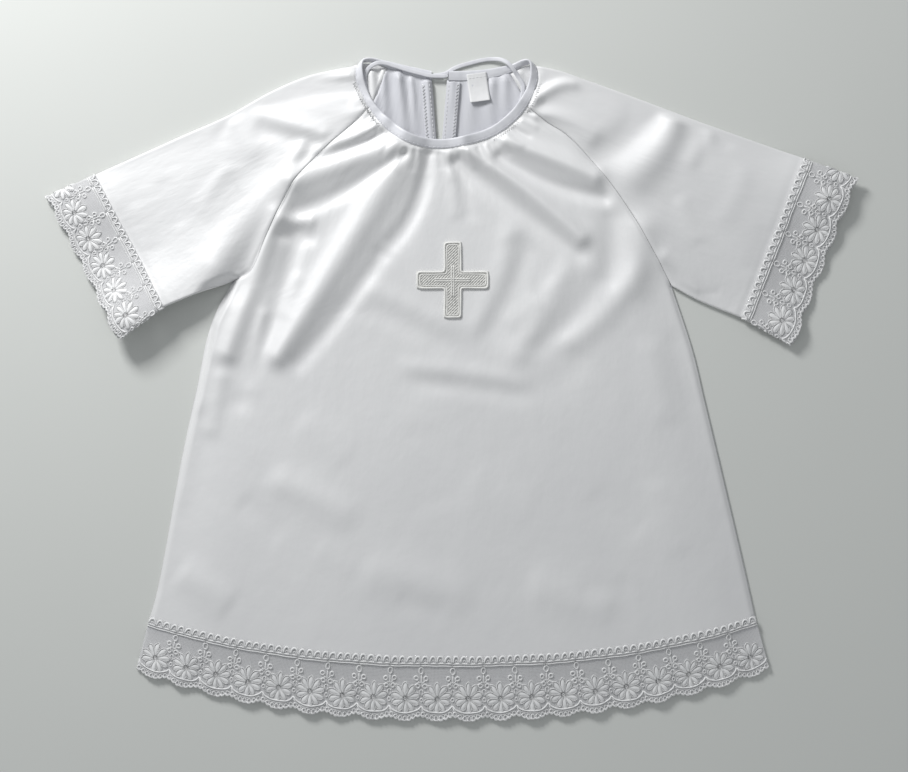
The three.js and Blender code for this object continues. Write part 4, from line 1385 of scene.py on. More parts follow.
@dataclass(frozen=True)
class LaceLie:
    """How the lace lies: it settles towards its edge, and ripples a little there."""

    wall: float = 1.0
    header_lift: float = 0.75
    overlap: float = 5.0
    settle: float = 0.8
    edge_level: float = 1.5
    ripple: float = 0.5
    rows: int = 24

    def upper(self, x: Array, y: Array, down: Array) -> Array:
        """The height of the upper lace's face at places and at shares of the way down it."""
        flat = 2 * self.wall + LIE.layer_gap
        lie = flat + (self.edge_level - flat) * smooth(down) + LIE.space(x, y) * (1 - self.settle * down)
        wave = np.sin(x * 0.13 + y * 0.05) + 0.6 * np.sin(x * 0.31 - y * 0.17 + 1)
        head = self.header_lift * (1 - smooth(down * 3))
        return lie + head + self.ripple * down**2 * (wave + 0.4)

    def lower(self, x: Array, y: Array, down: Array) -> Array:
        """The height of the lower lace's face, clear of the ground by its stitching."""
        wave = np.sin(x * 0.17 - y * 0.03 + 2)
        return 0.6 + 0.12 * down * wave

    def hem(self, upper: bool, columns: int = 260) -> Surface:
        """The surface of the hem's lace at the front, or at the back."""
        t = np.linspace(0, 1, columns)
        down = np.linspace(0, 1, self.rows)[:, None]
        head, tip = hem_head(t), hem_tip(t)
        if upper:
            head = head + self.overlap * unit(head - tip)
        plan = head[None] * (1 - down[..., None]) + tip[None] * down[..., None]
        height = (self.upper if upper else self.lower)(plan[..., 0], plan[..., 1], down)
        grid = np.dstack([plan, height])
        middle = (head + tip) / 2
        return Surface(grid, runs(middle), down[:, 0] * np.linalg.norm(tip - head, axis=1).mean())

    def cuff(self, side: Side, columns: int = 64) -> Surface:
        """The surface of a cuff's lace, all round the sleeve."""
        t = np.linspace(0, 1, columns)[:, None]
        head = side.head_bottom * (1 - t) + side.head_top * t
        tip = side.tip_bottom * (1 - t) + side.tip_top * t
        down = np.linspace(0, 1, self.rows)[:, None]
        plan = head[None] * (1 - down[..., None]) + tip[None] * down[..., None]
        x, y = plan[..., 0], plan[..., 1]
        lift = bells(LIFTS, x, y)
        tube = flat_tube(plan, plan, self.upper(x, y, down) + lift, self.lower(x, y, down) + lift)
        deep = np.linalg.norm(tip - head, axis=1).mean()
        return Surface(tube, ring_runs(tube[self.rows // 2]), down[:, 0] * deep, ring=True)


def flat_tube(
    upper: Array, lower: Array, top: Array, low: Array, bulge: Array | float = 1.1, fold: int = 7
) -> Array:
    """A flat tube's rings: its upper layer, a rounded fold, its lower layer back, and the other fold.

    A fold is half a turn: its height goes with the cosine between the two layers' heights and it
    stands out by the bulge times the sine.

    Args:
        upper: The upper layer's plan, rows along the tube and columns across it.
        lower: The lower layer's plan.
        top: The upper layer's heights.
        low: The lower layer's heights.
        bulge: How far the folds stand out, for all rows or for each.
        fold: How many points each fold has.

    Returns:
        A grid whose last column joins its first one.
    """
    angle = np.linspace(0, math.pi, fold + 2)[1:-1]
    share = (1 + np.cos(angle)) / 2
    out = unit(upper[:, -1] - upper[:, 0])
    reach = np.broadcast_to(bulge, len(upper))[:, None] * np.sin(angle)

    def turn(a: Array, b: Array, high: Array, deep: Array, sign: int) -> Array:
        """One fold, from the upper layer's edge to the lower one's."""
        plan = a[:, None] * share[None, :, None] + b[:, None] * (1 - share)[None, :, None]
        plan = plan + sign * reach[..., None] * out[:, None]
        height = high[:, None] * share + deep[:, None] * (1 - share)
        return np.dstack([plan, height])

    first = turn(upper[:, -1], lower[:, -1], top[:, -1], low[:, -1], 1)
    second = turn(upper[:, 0], lower[:, 0], top[:, 0], low[:, 0], -1)[:, ::-1]
    return np.concatenate(
        [np.dstack([upper, top]), first, np.dstack([lower, low])[:, ::-1], second], axis=1
    )


# ---------------------------------------------------------------- neck tape


@dataclass(frozen=True)
class NeckTape:
    """The folded tape round the neck, flat on the back, upright at the corners and flat in front."""

    thick: float = 1.6
    inset: float = 0.4
    layer_sink: float = 0.1
    stations: int = 520
    sides: int = 24
    settle: float = 7.0
    plump: float = 0.15
    seam_place: float = 0.17
    seam_depth: float = 0.3
    seam_reach: float = 0.07
    face_wide: float = 6.4
    face_rows: int = 15
    settle_length: float = 460.0
    stitch: float = 2.1
    stitch_pitch: float = 3.0
    merge_reach: float = 3.0
    overlocked: tuple[tuple[float, float], ...] = ((5.2, 7.9), (12.6, 14.0), (14.6, 16.6))
    overlock_pitch: float = 0.85
    overlock_swing: tuple[float, ...] = (0.3, 2.5, 1.1, 2.7)
    cloth_sink: float = 0.1

    def places(self) -> Array:
        """The stations' places in the neck table, evenly spaced along the sewn line."""
        fine = np.linspace(0, NECK_ROWS - 1, 2400)
        length = runs(curve_at(SEWN, fine))
        return np.interp(np.linspace(0, length[-1], self.stations), length, fine)

    def settled(self, values: Array) -> Array:
        """Values along the tape, evened out by a bell as wide as the tape is stiff."""
        step = self.settle_length / self.stations
        reach = int(3 * self.settle / step)
        weights = bell(np.arange(-reach, reach + 1) * step, self.settle)
        return np.convolve(np.pad(values, reach, mode="edge"), weights / weights.sum(), mode="valid")

    def lines(self) -> tuple[Array, Array, Array]:
        """The sewn edge, the way to the free edge and the way out of the tape's face.

        The sewn edge is as high as the table's base, plus the front's lie by the share that the
        table gives, plus half a thickness. The face is square to the tape's length and width.
        """
        places = self.places()
        rows = np.arange(NECK_ROWS)
        sewn, free = curve_at(SEWN, places), curve_at(FREE, places)
        base, rise, front = (
            self.settled(np.interp(places, rows, NECK[name])) for name in ("base", "rise", "front")
        )
        on_front = LIE.layer_gap + LIE.wall + self.settled(LIE.space(*sewn.T, gathered=False))
        level = base + front * (on_front - self.layer_sink) + self.thick / 2
        across = np.column_stack([free - sewn, rise])
        way = np.column_stack([np.gradient(sewn, axis=0), np.zeros(len(sewn))])
        out = unit(np.cross(way, across))
        flat = across * (1, 1, 0) / np.linalg.norm(across[:, :2], axis=1, keepdims=True)
        inward = (self.thick / 2 + self.inset) * np.linalg.norm(out[:, :2], axis=1, keepdims=True)
        return np.column_stack([sewn, level]) + flat * inward, across, out

    def half_thickness(self, reach: Array) -> Array:
        """Half the tape's thickness at shares of the way from its sewn edge to its free one.

        It is a rounded bar, a little plumper at the fold, with a dip along the seam.
        """
        ends = np.clip(1 - np.abs(2 * reach - 1) ** 7, 0, 1) ** 0.5
        plump = 1 + self.plump * (reach - 0.5)
        dip = 1 - self.seam_depth * bell(reach - self.seam_place, self.seam_reach)
        return self.thick / 2 * ends * plump * dip

    def surface(self) -> Surface:
        """The tape's face, from its free edge down to its sewn one, for the stitches."""
        sewn, across, out = self.lines()
        reach = np.linspace(1, 0, self.face_rows)[:, None, None]
        face = sewn + across * reach + out * self.half_thickness(reach)
        return Surface(face, runs(sewn), np.linspace(0, self.face_wide, self.face_rows))

    def level_near(self, x: Array, y: Array) -> tuple[Array, Array]:
        """The distance to the nearest station of the sewn line, and the tape's level there."""
        sewn, _, _ = self.lines()
        line_xy = curve_at(SEWN, self.places())[::3]
        level = sewn[::3, 2]
        distance = np.full(x.shape, 1e3)
        height = np.zeros(x.shape)
        close = y > 150
        away = np.hypot(x[close][:, None] - line_xy[:, 0], y[close][:, None] - line_xy[:, 1])
        index = away.argmin(axis=1)
        distance[close] = away.min(axis=1)
        height[close] = level[index]
        return distance, height

    def drawn_in(self, x: Array, y: Array, z: Array, sink: float) -> Array:
        """Cloth heights that run into the tape at the neck: a smooth step from its level to theirs."""
        distance, level = self.level_near(x, y)
        own = smooth(distance / self.merge_reach)
        return (level - sink) * (1 - own) + z * own

    def build(self, material: bpy.types.Material) -> None:
        """Builds the tape and the row of stitches along its seam."""
        sewn, across, out = self.lines()
        angle = np.linspace(0, 2 * math.pi, self.sides, endpoint=False)
        reach = (0.5 - 0.5 * np.cos(angle))[:, None]
        side = (np.sign(np.sin(angle)) * self.half_thickness(reach[:, 0]))[:, None]
        ripple = 1 + 0.05 * np.sin(runs(sewn) * 0.8) + 0.04 * np.sin(runs(sewn) * 0.37 + 1)
        ring = sewn[:, None] + across[:, None] * reach + out[:, None] * side * ripple[:, None, None]
        middle = sewn + across / 2
        points = np.vstack([ring.reshape(-1, 3), middle[:1], middle[-1:]])
        tape = fill_mesh("neck_tape", points, tube_faces(points, self.stations, self.sides))
        finish_piece(tape, Slot.BINDING, material, "neck_binding")
        surface = self.surface()
        one = Stitching.empty()
        half = self.stitch / 2
        one.strand(line((-half, 0), (-0.5, 0.12), (0.5, 0.12), (half, 0)), 0.24, 0.26)
        along = np.arange(4, surface.across[-1] - 4, self.stitch_pitch)
        places = level_line(along, self.face_wide * (1 - self.seam_place))
        row = fill_mesh("neck_stitches", *one.lay(places, lambda s, t, h: surface.at(s, t, h - 0.05)))
        finish_piece(row, Slot.BINDING, material)
        Cut(316, 10, 0.65, "folded").declare(tape, ("front", "back"), (row,))

    def overlock(self, material: bpy.types.Material) -> None:
        """Adds zigzag stitches that show on the cloth beside the tape, where the raglans end."""
        made = Stitching.empty()
        for start, end in self.overlocked:
            sewn = sewn_between(start, end, np.linspace(0, 1, 200))
            at = np.arange(0.5, runs(sewn)[-1], self.overlock_pitch)
            swing = np.take(self.overlock_swing, np.arange(len(at)) % len(self.overlock_swing))
            path = walk(sewn, at)
            way = unit(np.gradient(path, axis=0))
            made.strand(path + swing[:, None] * np.column_stack([way[:, 1], -way[:, 0]]), 0.3, 0.42)
        stitched = made.lay_once(self.on_cloth, 0.05)
        finish_piece(fill_mesh("overlock_stitches", *stitched), Slot.BINDING, material)

    def on_cloth(self, s: Array, t: Array, height: Array) -> Array:
        """Lays places in the plan on the front's cloth near the tape."""
        return np.column_stack([s, t, self.drawn_in(s, t, LIE.top(s, t), self.cloth_sink) + height])


TAPE = NeckTape()

# ---------------------------------------------------------------- body


@dataclass(frozen=True)
class Body:
    """The front and the back panel, with the raglan seams' grooves and the side seams' turned edges."""

    front_cut: Cut = Cut(432, 385, 0.72)
    back_cut: Cut = Cut(432, 412, 0.71)
    columns: int = 190
    raglan_rows: int = 70
    side_rows: int = 106
    crowding: float = 1.35
    edge_crowding: float = 0.55
    cloth: float = 0.5
    back_cloth: float = 0.8
    tucked: float = 1.6
    groove: float = 0.7
    groove_reach: float = 1.5
    seam_drop: float = 1.9
    seam_reach: float = 2.2
    under_lace: tuple[float, float, float] = (5.8, 6.8, 7.8)
    back_over_lace: tuple[float, float, float] = (2.0, 4.0, 6.0)
    back_clear: float = 0.85
    back_rows: int = 40
    cloth_wide: float = 390.0

    def across(self) -> Array:
        """The columns' places, closer together at both sides."""
        t = np.linspace(0, 1, self.columns)
        return t - self.edge_crowding * np.sin(2 * math.pi * t) / (2 * math.pi)

    def edge(self, raglan: Array, seam: Array, gap: float) -> Array:
        """A raglan and a side seam in one line, moved apart from its neighbour's by the gap."""
        along = np.linspace(0, 1, self.raglan_rows) ** self.crowding
        upper = move_sideways(even(raglan, along), gap)
        lower = move_sideways(even(seam, np.linspace(0, 1, self.side_rows)), gap)
        return np.vstack([upper, lower[1:]])

    def plan(self, raglans: tuple[Array, Array], neckline: Array, gap: float, u: Array) -> Array:
        """A panel's plan, whose seams' ends are pulled to the ends of its neckline and hem."""
        hem = hem_head(u)
        left = self.edge(raglans[0], LEFT.seam, gap)
        right = self.edge(raglans[1], RIGHT.seam, -gap)
        left[0], left[-1] = neckline[0], hem[0]
        right[0], right[-1] = neckline[-1], hem[-1]
        return coons(left, right, neckline, hem, u)

    def front(self, satin: bpy.types.Material, lace: Surface) -> bpy.types.Object:
        """Builds the front: its lie, a groove along the raglans, and sides that turn down.

        Args:
            satin: The cloth.
            lace: The hem's lace, which the cloth ends under.

        Returns:
            The piece.
        """
        u = self.across()
        neck = move_sideways(sewn_between(LEFT.neck_front, RIGHT.neck_front, u), self.tucked)
        plan = self.plan((LEFT.front_raglan, RIGHT.front_raglan), neck, 0.06, u)
        x, y = plan[..., 0], plan[..., 1]
        raglan = np.minimum(*(distance_to(side.front_raglan, x, y) for side in SIDES))
        seam = np.minimum(*(distance_to(side.seam, x, y) for side in SIDES))
        z = LIE.top(x, y)
        z -= self.groove * bell(raglan, self.groove_reach)
        z -= self.seam_drop * bell(seam, self.seam_reach)
        to_hem = y - np.interp(x, *hem_head(np.linspace(0, 1, 200)).T)
        z -= UNDER_LACE * (1 - smooth(to_hem / HEAD_REACH))
        grid = np.dstack([plan, TAPE.drawn_in(x, y, z, TAPE.cloth_sink)])
        grid = lace.tuck(grid, lace.across_at(u), self.under_lace, -UNDER_LACE)
        cloth = cloth_places(u * self.cloth_wide, runs(grid[:, self.columns // 2]))
        faces = grid_faces(len(grid), self.columns)
        piece = fill_mesh("front_panel", grid.reshape(-1, 3), faces, cloth)
        thicken(piece, self.cloth)
        self.front_cut.declare(piece, ("back",))
        return finish_piece(piece, Slot.SATIN, satin, "front")

    def back_height(self, x: Array, y: Array) -> Array:
        """The back's height: a faint wave, with folds that run down from the neck."""
        wave = 0.16 * np.sin(x * 0.09 + y * 0.02) * np.sin(y * 0.045 + 1)
        return np.clip(1.0 + wave + bells(BACK_FOLDS, x, y), 0.85, 5.0)

    def back(
        self, satin: bpy.types.Material, shaded_reverse: bpy.types.Material, lace: Surface
    ) -> bpy.types.Object:
        """Builds the back, which is slit down from the neck.

        The columns part at the slit: left of it they are pulled to its left side, right of it to
        its right side, and the faces between the two middle columns are left out above its foot.

        Args:
            satin: The cloth's right side, which lies on the ground.
            shaded_reverse: Its wrong side, which faces the front: duller than the right side, and darker
                and bluer with painted shade of the shirt's inside.
            lace: The hem's lace at the back, which the cloth ends over.

        Returns:
            The piece.
        """
        half = self.columns // 4
        left_part = np.linspace(0, 1, half) ** 0.8
        u = np.concatenate([left_part, 2 - left_part[::-1]]) / 2
        tuck = self.tucked
        left_neck = sewn_between(LEFT.neck_back, 0, left_part)
        right_neck = sewn_between(NECK_ROWS - 1, RIGHT.neck_back, 1 - left_part[::-1])
        neck = np.vstack([left_neck + (0, tuck), right_neck + (0, tuck)])
        thin = Body(raglan_rows=self.back_rows, side_rows=self.back_rows)
        plan = thin.plan((LEFT.back_raglan, RIGHT.back_raglan), neck, 0.06, u)
        y = plan[..., 1]
        split_at = half - 1
        opened = y[:, split_at : split_at + 2].mean(1) > SLIT.end
        left_side, right_side = SLIT.sides(y[:, split_at]), SLIT.sides(y[:, split_at + 1])
        pull = smooth(1 - np.abs(np.arange(len(u)) - (split_at + 0.5)) / (half * 0.6))
        shift_left = (left_side[0] - plan[:, split_at, 0])[:, None]
        shift_right = (right_side[1] - plan[:, split_at + 1, 0])[:, None]
        is_left = np.arange(len(u)) <= split_at
        plan[..., 0] += np.where(is_left, shift_left, shift_right) * pull
        x, y = plan[..., 0], plan[..., 1]
        grid = np.dstack([plan, TAPE.drawn_in(x, y, self.back_height(x, y), TAPE.cloth_sink)])
        grid = lace.tuck(grid, lace.across_at(u), self.back_over_lace, self.back_clear)
        faces = grid_faces(len(grid), len(u))
        row, column = np.divmod(faces[:, 0], len(u))
        gone = (column == split_at) & (np.append(opened, np.zeros(len(self.back_over_lace), bool))[row])
        cloth = cloth_places(u * self.cloth_wide, runs(grid[:, split_at]))
        piece = fill_mesh("back_panel", grid.reshape(-1, 3), faces[~gone], cloth)
        thicken(piece, self.back_cloth)
        # The wall's inner shell and rim wear the wrong side's satin, darkened with painted shade.
        piece.data.materials.append(shaded_reverse)
        piece.modifiers["wall"].material_offset = 1
        piece.modifiers["wall"].material_offset_rim = 1
        self.back_cut.declare(piece, ())
        return finish_piece(piece, Slot.SATIN, satin, "back")


@dataclass(frozen=True)
class Slit:
    """The slit down the middle of the back, which narrows from the neck to its foot."""

    top: float = 226.0
    left_top: float = -14.2
    right_top: float = -2.3
    foot: float = 172.0
    left_foot: float = -10.0
    right_foot: float = -6.8
    end: float = 158.0

    def sides(self, y: Array) -> tuple[Array, Array]:
        """Where the slit's left and right side are at places up the plan."""
        tip = (self.left_foot + self.right_foot) / 2
        levels = (self.end, self.foot, self.top)
        left = np.interp(y, levels, (tip - 0.02, self.left_foot, self.left_top))
        return left, np.interp(y, levels, (tip + 0.02, self.right_foot, self.right_top))


SLIT = Slit()

BODICE = Body()

# Soft folds of the back panel, seen through the neck.
BACK_FOLDS = table(
    BELL,
    (-56, 222, -53, 190, 0, 2.6, 4, 3.4, 1.4),
    (-47.5, 223, -46, 186, 0, 1.8, 3, 2.6, 1),
    (-37, 222, -33, 180, 0, 2.8, 4.6, 4, 1.8),
    (-28, 219, -25, 182, 0, 1.8, 3, 1.8, 0.8),
    (-16.5, 216, -13.5, 168, 0, 2.6, 3, 3.4, 1),
    (1, 215, -1, 176, 0, 3, 4, 1.4, 0.4),
    (15, 216, 12, 178, 0, 2.4, 5, 1.4, 0.4),
    (29, 217, 27, 184, 0, 2.4, 5, 2.2, 0.5),
    (38, 219, 38, 186, 0, 2.6, 5, 2.4, 0.7),
    (47, 221, 50, 194, 0, 2.6, 5, 2.2, 0.7),
    (-110, 60, -60, -90, 6, 14, 18, 0.5, 0.5),
    (100, 70, 60, -110, -6, 16, 18, 0.5, 0.5),
    (-20, 90, 10, -60, 4, 15, 18, -0.4, -0.4),
)

# ---------------------------------------------------------------- sleeves


@dataclass(frozen=True)
class Sleeve:
    """A raglan sleeve as a flat tube from the body's raglan seams to the lace."""

    side: Side
    cut: Cut = Cut(298, 205, 0.51)
    rows: int = 84
    columns: int = 92
    cloth: float = 0.5
    tucked: float = 1.6
    groove: float = 0.7
    groove_reach: float = 1.5
    lifted_from: float = 0.62
    under_lace: float = 6.2
    cloth_step: float = 2.1
    rest_reach: float = 20.0

    def body_end(self, raglan: Array, start: float, gap: float) -> Array:
        """The sleeve's end at the body, from the underarm up the raglan and along the neck."""
        side = self.side
        seam = move_sideways(even(raglan, np.linspace(0, 1, 80)), -side.hand * gap)[::-1]
        neck = sewn_between(start, side.neck_corner, np.linspace(0, 1, 24))
        inward = np.array((side.hand * self.tucked, 0.0))
        neck = neck + inward * np.linspace(0.4, 1, 24)[:, None]
        whole = np.vstack([seam[:-1], neck])
        return walk(whole, np.linspace(0, runs(whole)[-1], self.columns))

    def layer(self, raglan: Array, start: float, gap: float) -> Array:
        """One layer's plan: rows from the body to the lace, columns from the lower edge up."""
        side = self.side
        along = np.linspace(0, 1, self.rows) ** 1.15
        t = np.linspace(0, 1, self.columns)[:, None]
        cuff = side.bottom[-1] * (1 - t) + side.top[-1] * t
        end = self.body_end(raglan, start, gap)
        bottom, top = even(side.bottom, along), even(side.top, along)
        bottom[0], top[0] = end[0], end[-1]
        return coons(end, cuff, bottom, top, along).transpose(1, 0, 2)

    def build(self, satin: bpy.types.Material, lace: Surface) -> bpy.types.Object:
        """Builds the sleeve.

        Args:
            satin: The cloth.
            lace: The cuff's lace, which the cloth ends under.

        Returns:
            The piece.
        """
        side = self.side
        upper = self.layer(side.front_raglan, side.neck_front, 0.06)
        lower = self.layer(side.back_raglan, side.neck_back, 0.06)
        along = np.linspace(0, 1, self.rows)[:, None]
        raise_by = smooth(along / self.lifted_from)
        x, y = upper[..., 0], upper[..., 1]
        seam = distance_to(side.front_raglan, x, y)
        top = LIE.top(x, y) - self.groove * bell(seam, self.groove_reach)
        head = distance_to(np.array([side.bottom[-1], side.top[-1]]), x, y)
        top = top - UNDER_LACE * (1 - smooth(head / HEAD_REACH)) + bells(LIFTS, x, y) * raise_by
        top = TAPE.drawn_in(x, y, top, TAPE.cloth_sink)
        low_x, low_y = lower[..., 0], lower[..., 1]
        back = distance_to(side.back_raglan, low_x, low_y)
        rest = 0.3 + (BODICE.back_height(low_x, low_y) - 0.8) * bell(back, self.rest_reach)
        low = TAPE.drawn_in(low_x, low_y, rest + bells(LIFTS, low_x, low_y) * raise_by, 0.6)
        bulge = 1.1 * smooth(along[:, 0] * 3)
        grid = flat_tube(upper, lower, top, low, bulge)
        ring = grid.shape[1]
        around = ring_runs(grid[-1])
        places = around[:-1] / around[-1] * lace.across[-1]
        downs = tuple(np.linspace(1, self.under_lace, 4))
        grid = lace.tuck(grid, places, downs, UNDER_LACE * side.hand)
        faces = grid_faces(len(grid), ring, ring=True)[:, :: -side.hand]
        cloth = cloth_places(np.arange(ring) * self.cloth_step, runs(grid[:, self.columns // 2]))
        piece = fill_mesh(f"sleeve_{side.name}_cloth", grid.reshape(-1, 3), faces, cloth)
        thicken(piece, self.cloth)
        self.cut.declare(piece, ())
        return finish_piece(piece, Slot.SATIN, satin, f"sleeve_{side.name}")


# ---------------------------------------------------------------- facings, label and cross


@dataclass(frozen=True)
class Facing:
    """A strip of folded satin along one side of the slit, with zigzag and straight stitching."""

    wide: float = 7.5
    top: float = 215.6
    foot: float = 150.0
    gap: float = 0.3
    cloth: float = 0.45
    lift: float = 0.62
    edge_lifts: tuple[float, float] = (0.15, 1.1)
    zigzag: float = 1.9
    zigzag_pitch: float = 2.4

    def surface(self, hand: int) -> Surface:
        """The strip's face, from its top down. hand is -1 on the slit's left side and 1 on its right."""
        y = np.linspace(self.top, self.foot, 110)[:, None]
        left, right = SLIT.sides(y)
        share = np.linspace(0, 1, 16)[None]
        x = (left if hand < 0 else right) + hand * (self.gap + self.wide * share)
        z = BODICE.back_height(x, y) + self.lift + 0.1 * np.sin(y * 0.31 + hand) * share
        z = z + self.edge_lifts[hand > 0] * share**4
        grid = np.dstack(np.broadcast_arrays(x, y, z))
        if hand < 0:
            grid = grid[:, ::-1]
        return Surface(grid, np.linspace(0, self.wide, 16), runs(grid[:, 0]))

    def build(self, name: str, hand: int, satin: bpy.types.Material, thread: bpy.types.Material) -> None:
        """Builds the strip and its stitching."""
        surface = self.surface(hand)
        rows, columns = surface.grid.shape[:2]
        cloth = cloth_places(surface.across, surface.down)
        strip = fill_mesh(name + "_strip", surface.grid.reshape(-1, 3), grid_faces(rows, columns), cloth)
        thicken(strip, self.cloth)
        # The strip wears the material it is given; main gives the wrong side's satin, darkened with
        # painted shade.
        finish_piece(strip, Slot.SATIN, satin, name)
        made = Stitching.empty()
        down = np.arange(2, surface.down[-1] - 2, self.zigzag_pitch / 2)
        swing = self.zigzag * np.where(np.arange(len(down)) % 2, 1.0, 0.0)
        outer = 0.5 + swing if hand < 0 else self.wide - 0.5 - swing
        made.strand(np.column_stack([outer, down]), 0.32, 0.5)
        inner = self.wide - 1.6 if hand < 0 else 1.6
        for start in np.arange(2, surface.down[-1] - 4, 2.8):
            made.strand(level_line(start + np.arange(3), inner)[:, ::-1], 0.26, 0.32)
        stitched = made.lay_once(surface.at, 0.04)
        stitches = finish_piece(fill_mesh(name + "_stitches", *stitched), Slot.SATIN, thread)
        Cut(10, 66, self.wide / 10, "folded").declare(strip, ("back",), (stitches,))


@dataclass(frozen=True)
class Label:
    """A blank woven label, folded double at its free end and sewn to the neck tape at its top."""

    top: tuple[float, float] = (17.6, 221.5)
    bottom: tuple[float, float] = (20.2, 202.0)
    wide: float = 14.0
    thick: float = 0.28
    sewn_level: float = 2.5
    sag: float = 0.35
    curl: float = 1.5
    fold: float = 0.42
    stitch_down: float = 3.0

    def build(self, woven: bpy.types.Material, thread: bpy.types.Material) -> None:
        """Builds the label and its line of stitches.

        Its profile goes from the top to the free end, sagging and then curling up with the cube of
        the way along, round half a turn, and back underneath.
        """
        top, bottom = np.array(self.top), np.array(self.bottom)
        long = np.linalg.norm(bottom - top)
        way = (bottom - top) / long
        share = np.linspace(0, 1, 34)
        height = self.sewn_level - self.sag * np.sin(math.pi * share) + self.curl * share**3
        turn = np.linspace(0, math.pi, 9)[1:-1]
        along = np.concatenate([share * long, long + self.fold * np.sin(turn), (share * long)[::-1]])
        lift = np.concatenate(
            [height, height[-1] - self.fold * (1 - np.cos(turn)), (height - 2 * self.fold)[::-1]]
        )
        across = np.linspace(-0.5, 0.5, 12) * self.wide
        side = np.array((-way[1], way[0]))
        plan = top + along[:, None, None] * way + across[None, :, None] * side
        cup = 0.35 * (np.abs(across) / self.wide * 2) ** 2 * np.clip(along / long, 0, 1)[:, None] ** 2
        grid = np.dstack([plan, lift[:, None] + cup])
        faces = grid_faces(len(grid), len(across))
        strip = fill_mesh("blank_label", grid.reshape(-1, 3), faces)
        thicken(strip, self.thick)
        finish_piece(strip, Slot.LABEL, woven, "label")
        face = Surface(grid[:34], across + self.wide / 2, along[:34])
        made = Stitching.empty()
        for start in np.arange(0.8, self.wide - 2, 2.6):
            made.strand(level_line(start + 0.9 * np.arange(3), self.stitch_down), 0.2, 0.24)
        stitched = made.lay_once(face.at, 0.03)
        stitches = finish_piece(fill_mesh("label_stitches", *stitched), Slot.LABEL, thread)
        Cut(self.wide, 42, 1, "folded").declare(strip, ("neck_tape", "back"), (stitches,))


@dataclass(frozen=True)
class Cross:
    """An embroidered cross: a felt ground, slanted fill threads, cord outlines and an inner cross."""

    wide: float = 50.0
    tall: float = 53.0
    arm: float = 12.0
    middle: tuple[float, float] = (1.0, 76.5)
    ground: float = 0.7
    ground_thick: float = 0.9
    cord: float = 0.72
    cord_high: float = 0.95
    inner_cord: float = 0.5
    fill_pitch: float = 2.0
    fill_thread: float = 0.42
    inner_reach: tuple[float, float, float, float] = (12.5, 12.5, 10.0, 12.0)

    def on(self, s: Array, t: Array, height: Array) -> Array:
        """Lays a place, measured from the cross's middle with t up, on the shirt's front."""
        x, y = s + self.middle[0], t + self.middle[1]
        return np.column_stack([x, y, LIE.top(x, y) + height])

    def outline(self, inset: float) -> Array:
        """The cross's twelve corners, moved in by an inset."""
        w, h, a = self.wide / 2 - inset, self.tall / 2 - inset, self.arm / 2 - inset
        return line(
            (a, h), (-a, h), (-a, a), (-w, a), (-w, -a), (-a, -a),
            (-a, -h), (a, -h), (a, -a), (w, -a), (w, a), (a, a),
        )

    def closed(self, inset: float) -> Array:
        """The outline in steps of about two millimetres, a little uneven as hand-laid cord is."""
        corners = self.outline(inset)
        loop = np.vstack([corners, corners[:1]])
        length = runs(loop)[-1]
        at = np.linspace(0, length, int(length / 1.6), endpoint=False)
        path = walk(loop, at)
        soft = (np.roll(path, 1, axis=0) + 2 * path + np.roll(path, -1, axis=0)) / 4
        return soft + 0.12 * np.column_stack([np.sin(at * 0.31), np.cos(at * 0.23)])

    def inside(self, s: Array, t: Array, inset: float) -> NDArray[np.bool_]:
        """Whether places are within the cross, moved in by an inset."""
        a = self.arm / 2 - inset
        upright = (np.abs(s) < a) & (np.abs(t) < self.tall / 2 - inset)
        return upright | ((np.abs(t) < a) & (np.abs(s) < self.wide / 2 - inset))

    def fill(self, made: Stitching) -> None:
        """Adds the slanted threads: each line s - t = c is kept where it is within the cross."""
        reach = (self.wide + self.tall) / 2
        for c in np.arange(-reach, reach, self.fill_pitch):
            t = np.arange(-self.tall / 2, self.tall / 2, 0.55)
            s = c + t
            kept = self.inside(s, t, 1.6).astype(int)
            turns = np.flatnonzero(np.diff(np.concatenate([[0], kept, [0]])))
            for first, last in zip(turns[::2], turns[1::2]):
                if last - first > 3:
                    at = np.arange(first, last, 2)
                    knots = 0.62 + 0.2 * np.sin(at * 1.9)
                    made.strand(np.column_stack([s[at], t[at]]), self.fill_thread, knots)

    def build(self, felt: bpy.types.Material, thread: bpy.types.Material) -> None:
        """Builds the ground, which replaces the node, and the threads on it."""
        w, h, a = self.wide / 2, self.tall / 2, self.arm / 2
        s = np.concatenate([np.linspace(-w, -a, 16), np.linspace(-a, a, 11)[1:-1], np.linspace(a, w, 16)])
        t = np.concatenate([np.linspace(h, a, 17), np.linspace(a, -a, 11)[1:-1], np.linspace(-a, -h, 17)])
        across, up = np.meshgrid(s, t)
        points = self.on(across.ravel(), up.ravel(), np.full(across.size, self.ground))
        faces = grid_faces(len(t), len(s))
        centre = np.column_stack([across.ravel()[faces].mean(1), up.ravel()[faces].mean(1)])
        faces = faces[self.inside(centre[:, 0], centre[:, 1], 0)]
        used, place = np.unique(faces, return_inverse=True)
        ground = fill_mesh("cross_ground", points[used], place.reshape(faces.shape))
        thicken(ground, self.ground_thick)
        finish_piece(ground, Slot.EMBROIDERY, felt, "cross")
        made = Stitching.empty()
        made.strand(self.closed(0.5), self.cord, self.cord_high, sides=4, closed=True)
        second = self.closed(2.0)
        made.strand(second, self.inner_cord, self.cord_high * 0.7, sides=3, closed=True)
        self.fill(made)
        left, right, high, low = self.inner_reach
        for offset in (-0.75, 0.75):
            bar = np.linspace(-left, right, 18)
            post = np.linspace(-low, high, 16)
            made.strand(level_line(bar, offset), self.inner_cord, 0.85, sides=3)
            made.strand(level_line(post, offset)[:, ::-1], self.inner_cord, 0.85, sides=3)
        stitched = made.lay_once(self.on, 0.05 - self.ground)
        threads = finish_piece(fill_mesh("cross_threads", *stitched), Slot.EMBROIDERY, thread)
        Cut(self.wide, self.tall, 0.46).declare(ground, ("front",), (threads,))


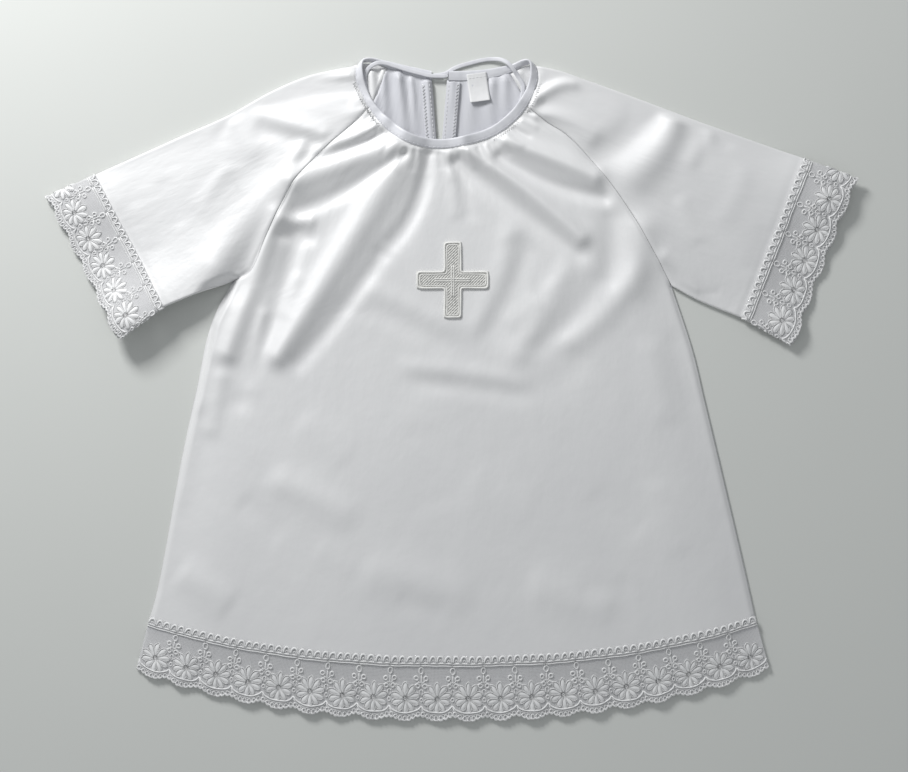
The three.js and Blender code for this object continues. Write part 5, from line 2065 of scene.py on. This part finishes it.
def main() -> None:
    """Builds the camera, the ties, the cloth, the lace and the trims, in that order."""
    logging.basicConfig(level=logging.INFO, format="%(message)s")
    Studio().build()
    tape = Tape("satin_tape", (0.76, 0.765, 0.80), (0.71, 0.715, 0.755), 0.4).make()
    Tie().build("tie_right", TIE_TO_RIGHT, tape)
    Tie().build("tie_left", TIE_TO_LEFT, tape)
    TAPE.build(tape)
    satin = Satin().make()
    net = Net().make()
    thread = Thread("lace_thread", (0.95, 0.95, 0.95), (0.88, 0.88, 0.885)).make()
    TAPE.overlock(thread)
    cotton = Thread("sewing_thread", (0.84, 0.845, 0.86), (0.76, 0.765, 0.78)).make()
    lie = LaceLie()
    front_hem, back_hem = lie.hem(True), lie.hem(False)
    BODICE.front(satin, front_hem)
    # The wrong side's satin: duller than the right side, and darker and bluer with painted shade that
    # stands in for the shadow inside the neck.
    shaded_reverse = Satin("satin_reverse_shaded", (0.69, 0.695, 0.73), (0.62, 0.625, 0.665), 0.5, 0.0).make()
    BODICE.back(satin, shaded_reverse, back_hem)
    front_cut, back_cut = Cut(440, 45, SCALLOPED), Cut(441, 40, SCALLOPED)
    Lace("hem_front", front_hem, 20, 1, front_cut, ("hem_back_net",)).build("hem_lace_front", net, thread)
    Lace("hem_back", back_hem, 20, -1, back_cut).build("hem_lace_back", net, thread)
    for side in SIDES:
        cuff = lie.cuff(side)
        Sleeve(side).build(satin, cuff)
        ring = Cut(226, 39, SCALLOPED) if side is LEFT else Cut(248, 41, SCALLOPED)
        strip = Lace(f"cuff_{side.name}", cuff, 11, -side.hand, ring)
        strip.build(f"cuff_lace_{side.name}", net, thread)
    # The facings wear the wrong side's satin, with its painted shade of the shirt's inside.
    Facing().build("slit_facing_left", -1, shaded_reverse, cotton)
    Facing(wide=9.0).build("slit_facing_right", 1, shaded_reverse, cotton)
    woven = Tape("woven_label", (0.82, 0.82, 0.825), (0.78, 0.78, 0.785), 0.6).make()
    Label().build(woven, cotton)
    silver = Thread("silver_grey_thread", (0.92, 0.915, 0.885), (0.84, 0.835, 0.81), 0.45).make()
    felt = Thread("grey_ground", (0.70, 0.695, 0.67), (0.64, 0.635, 0.61), 0.7).make()
    Cross().build(felt, silver)


if __name__ == "__main__":
    main()
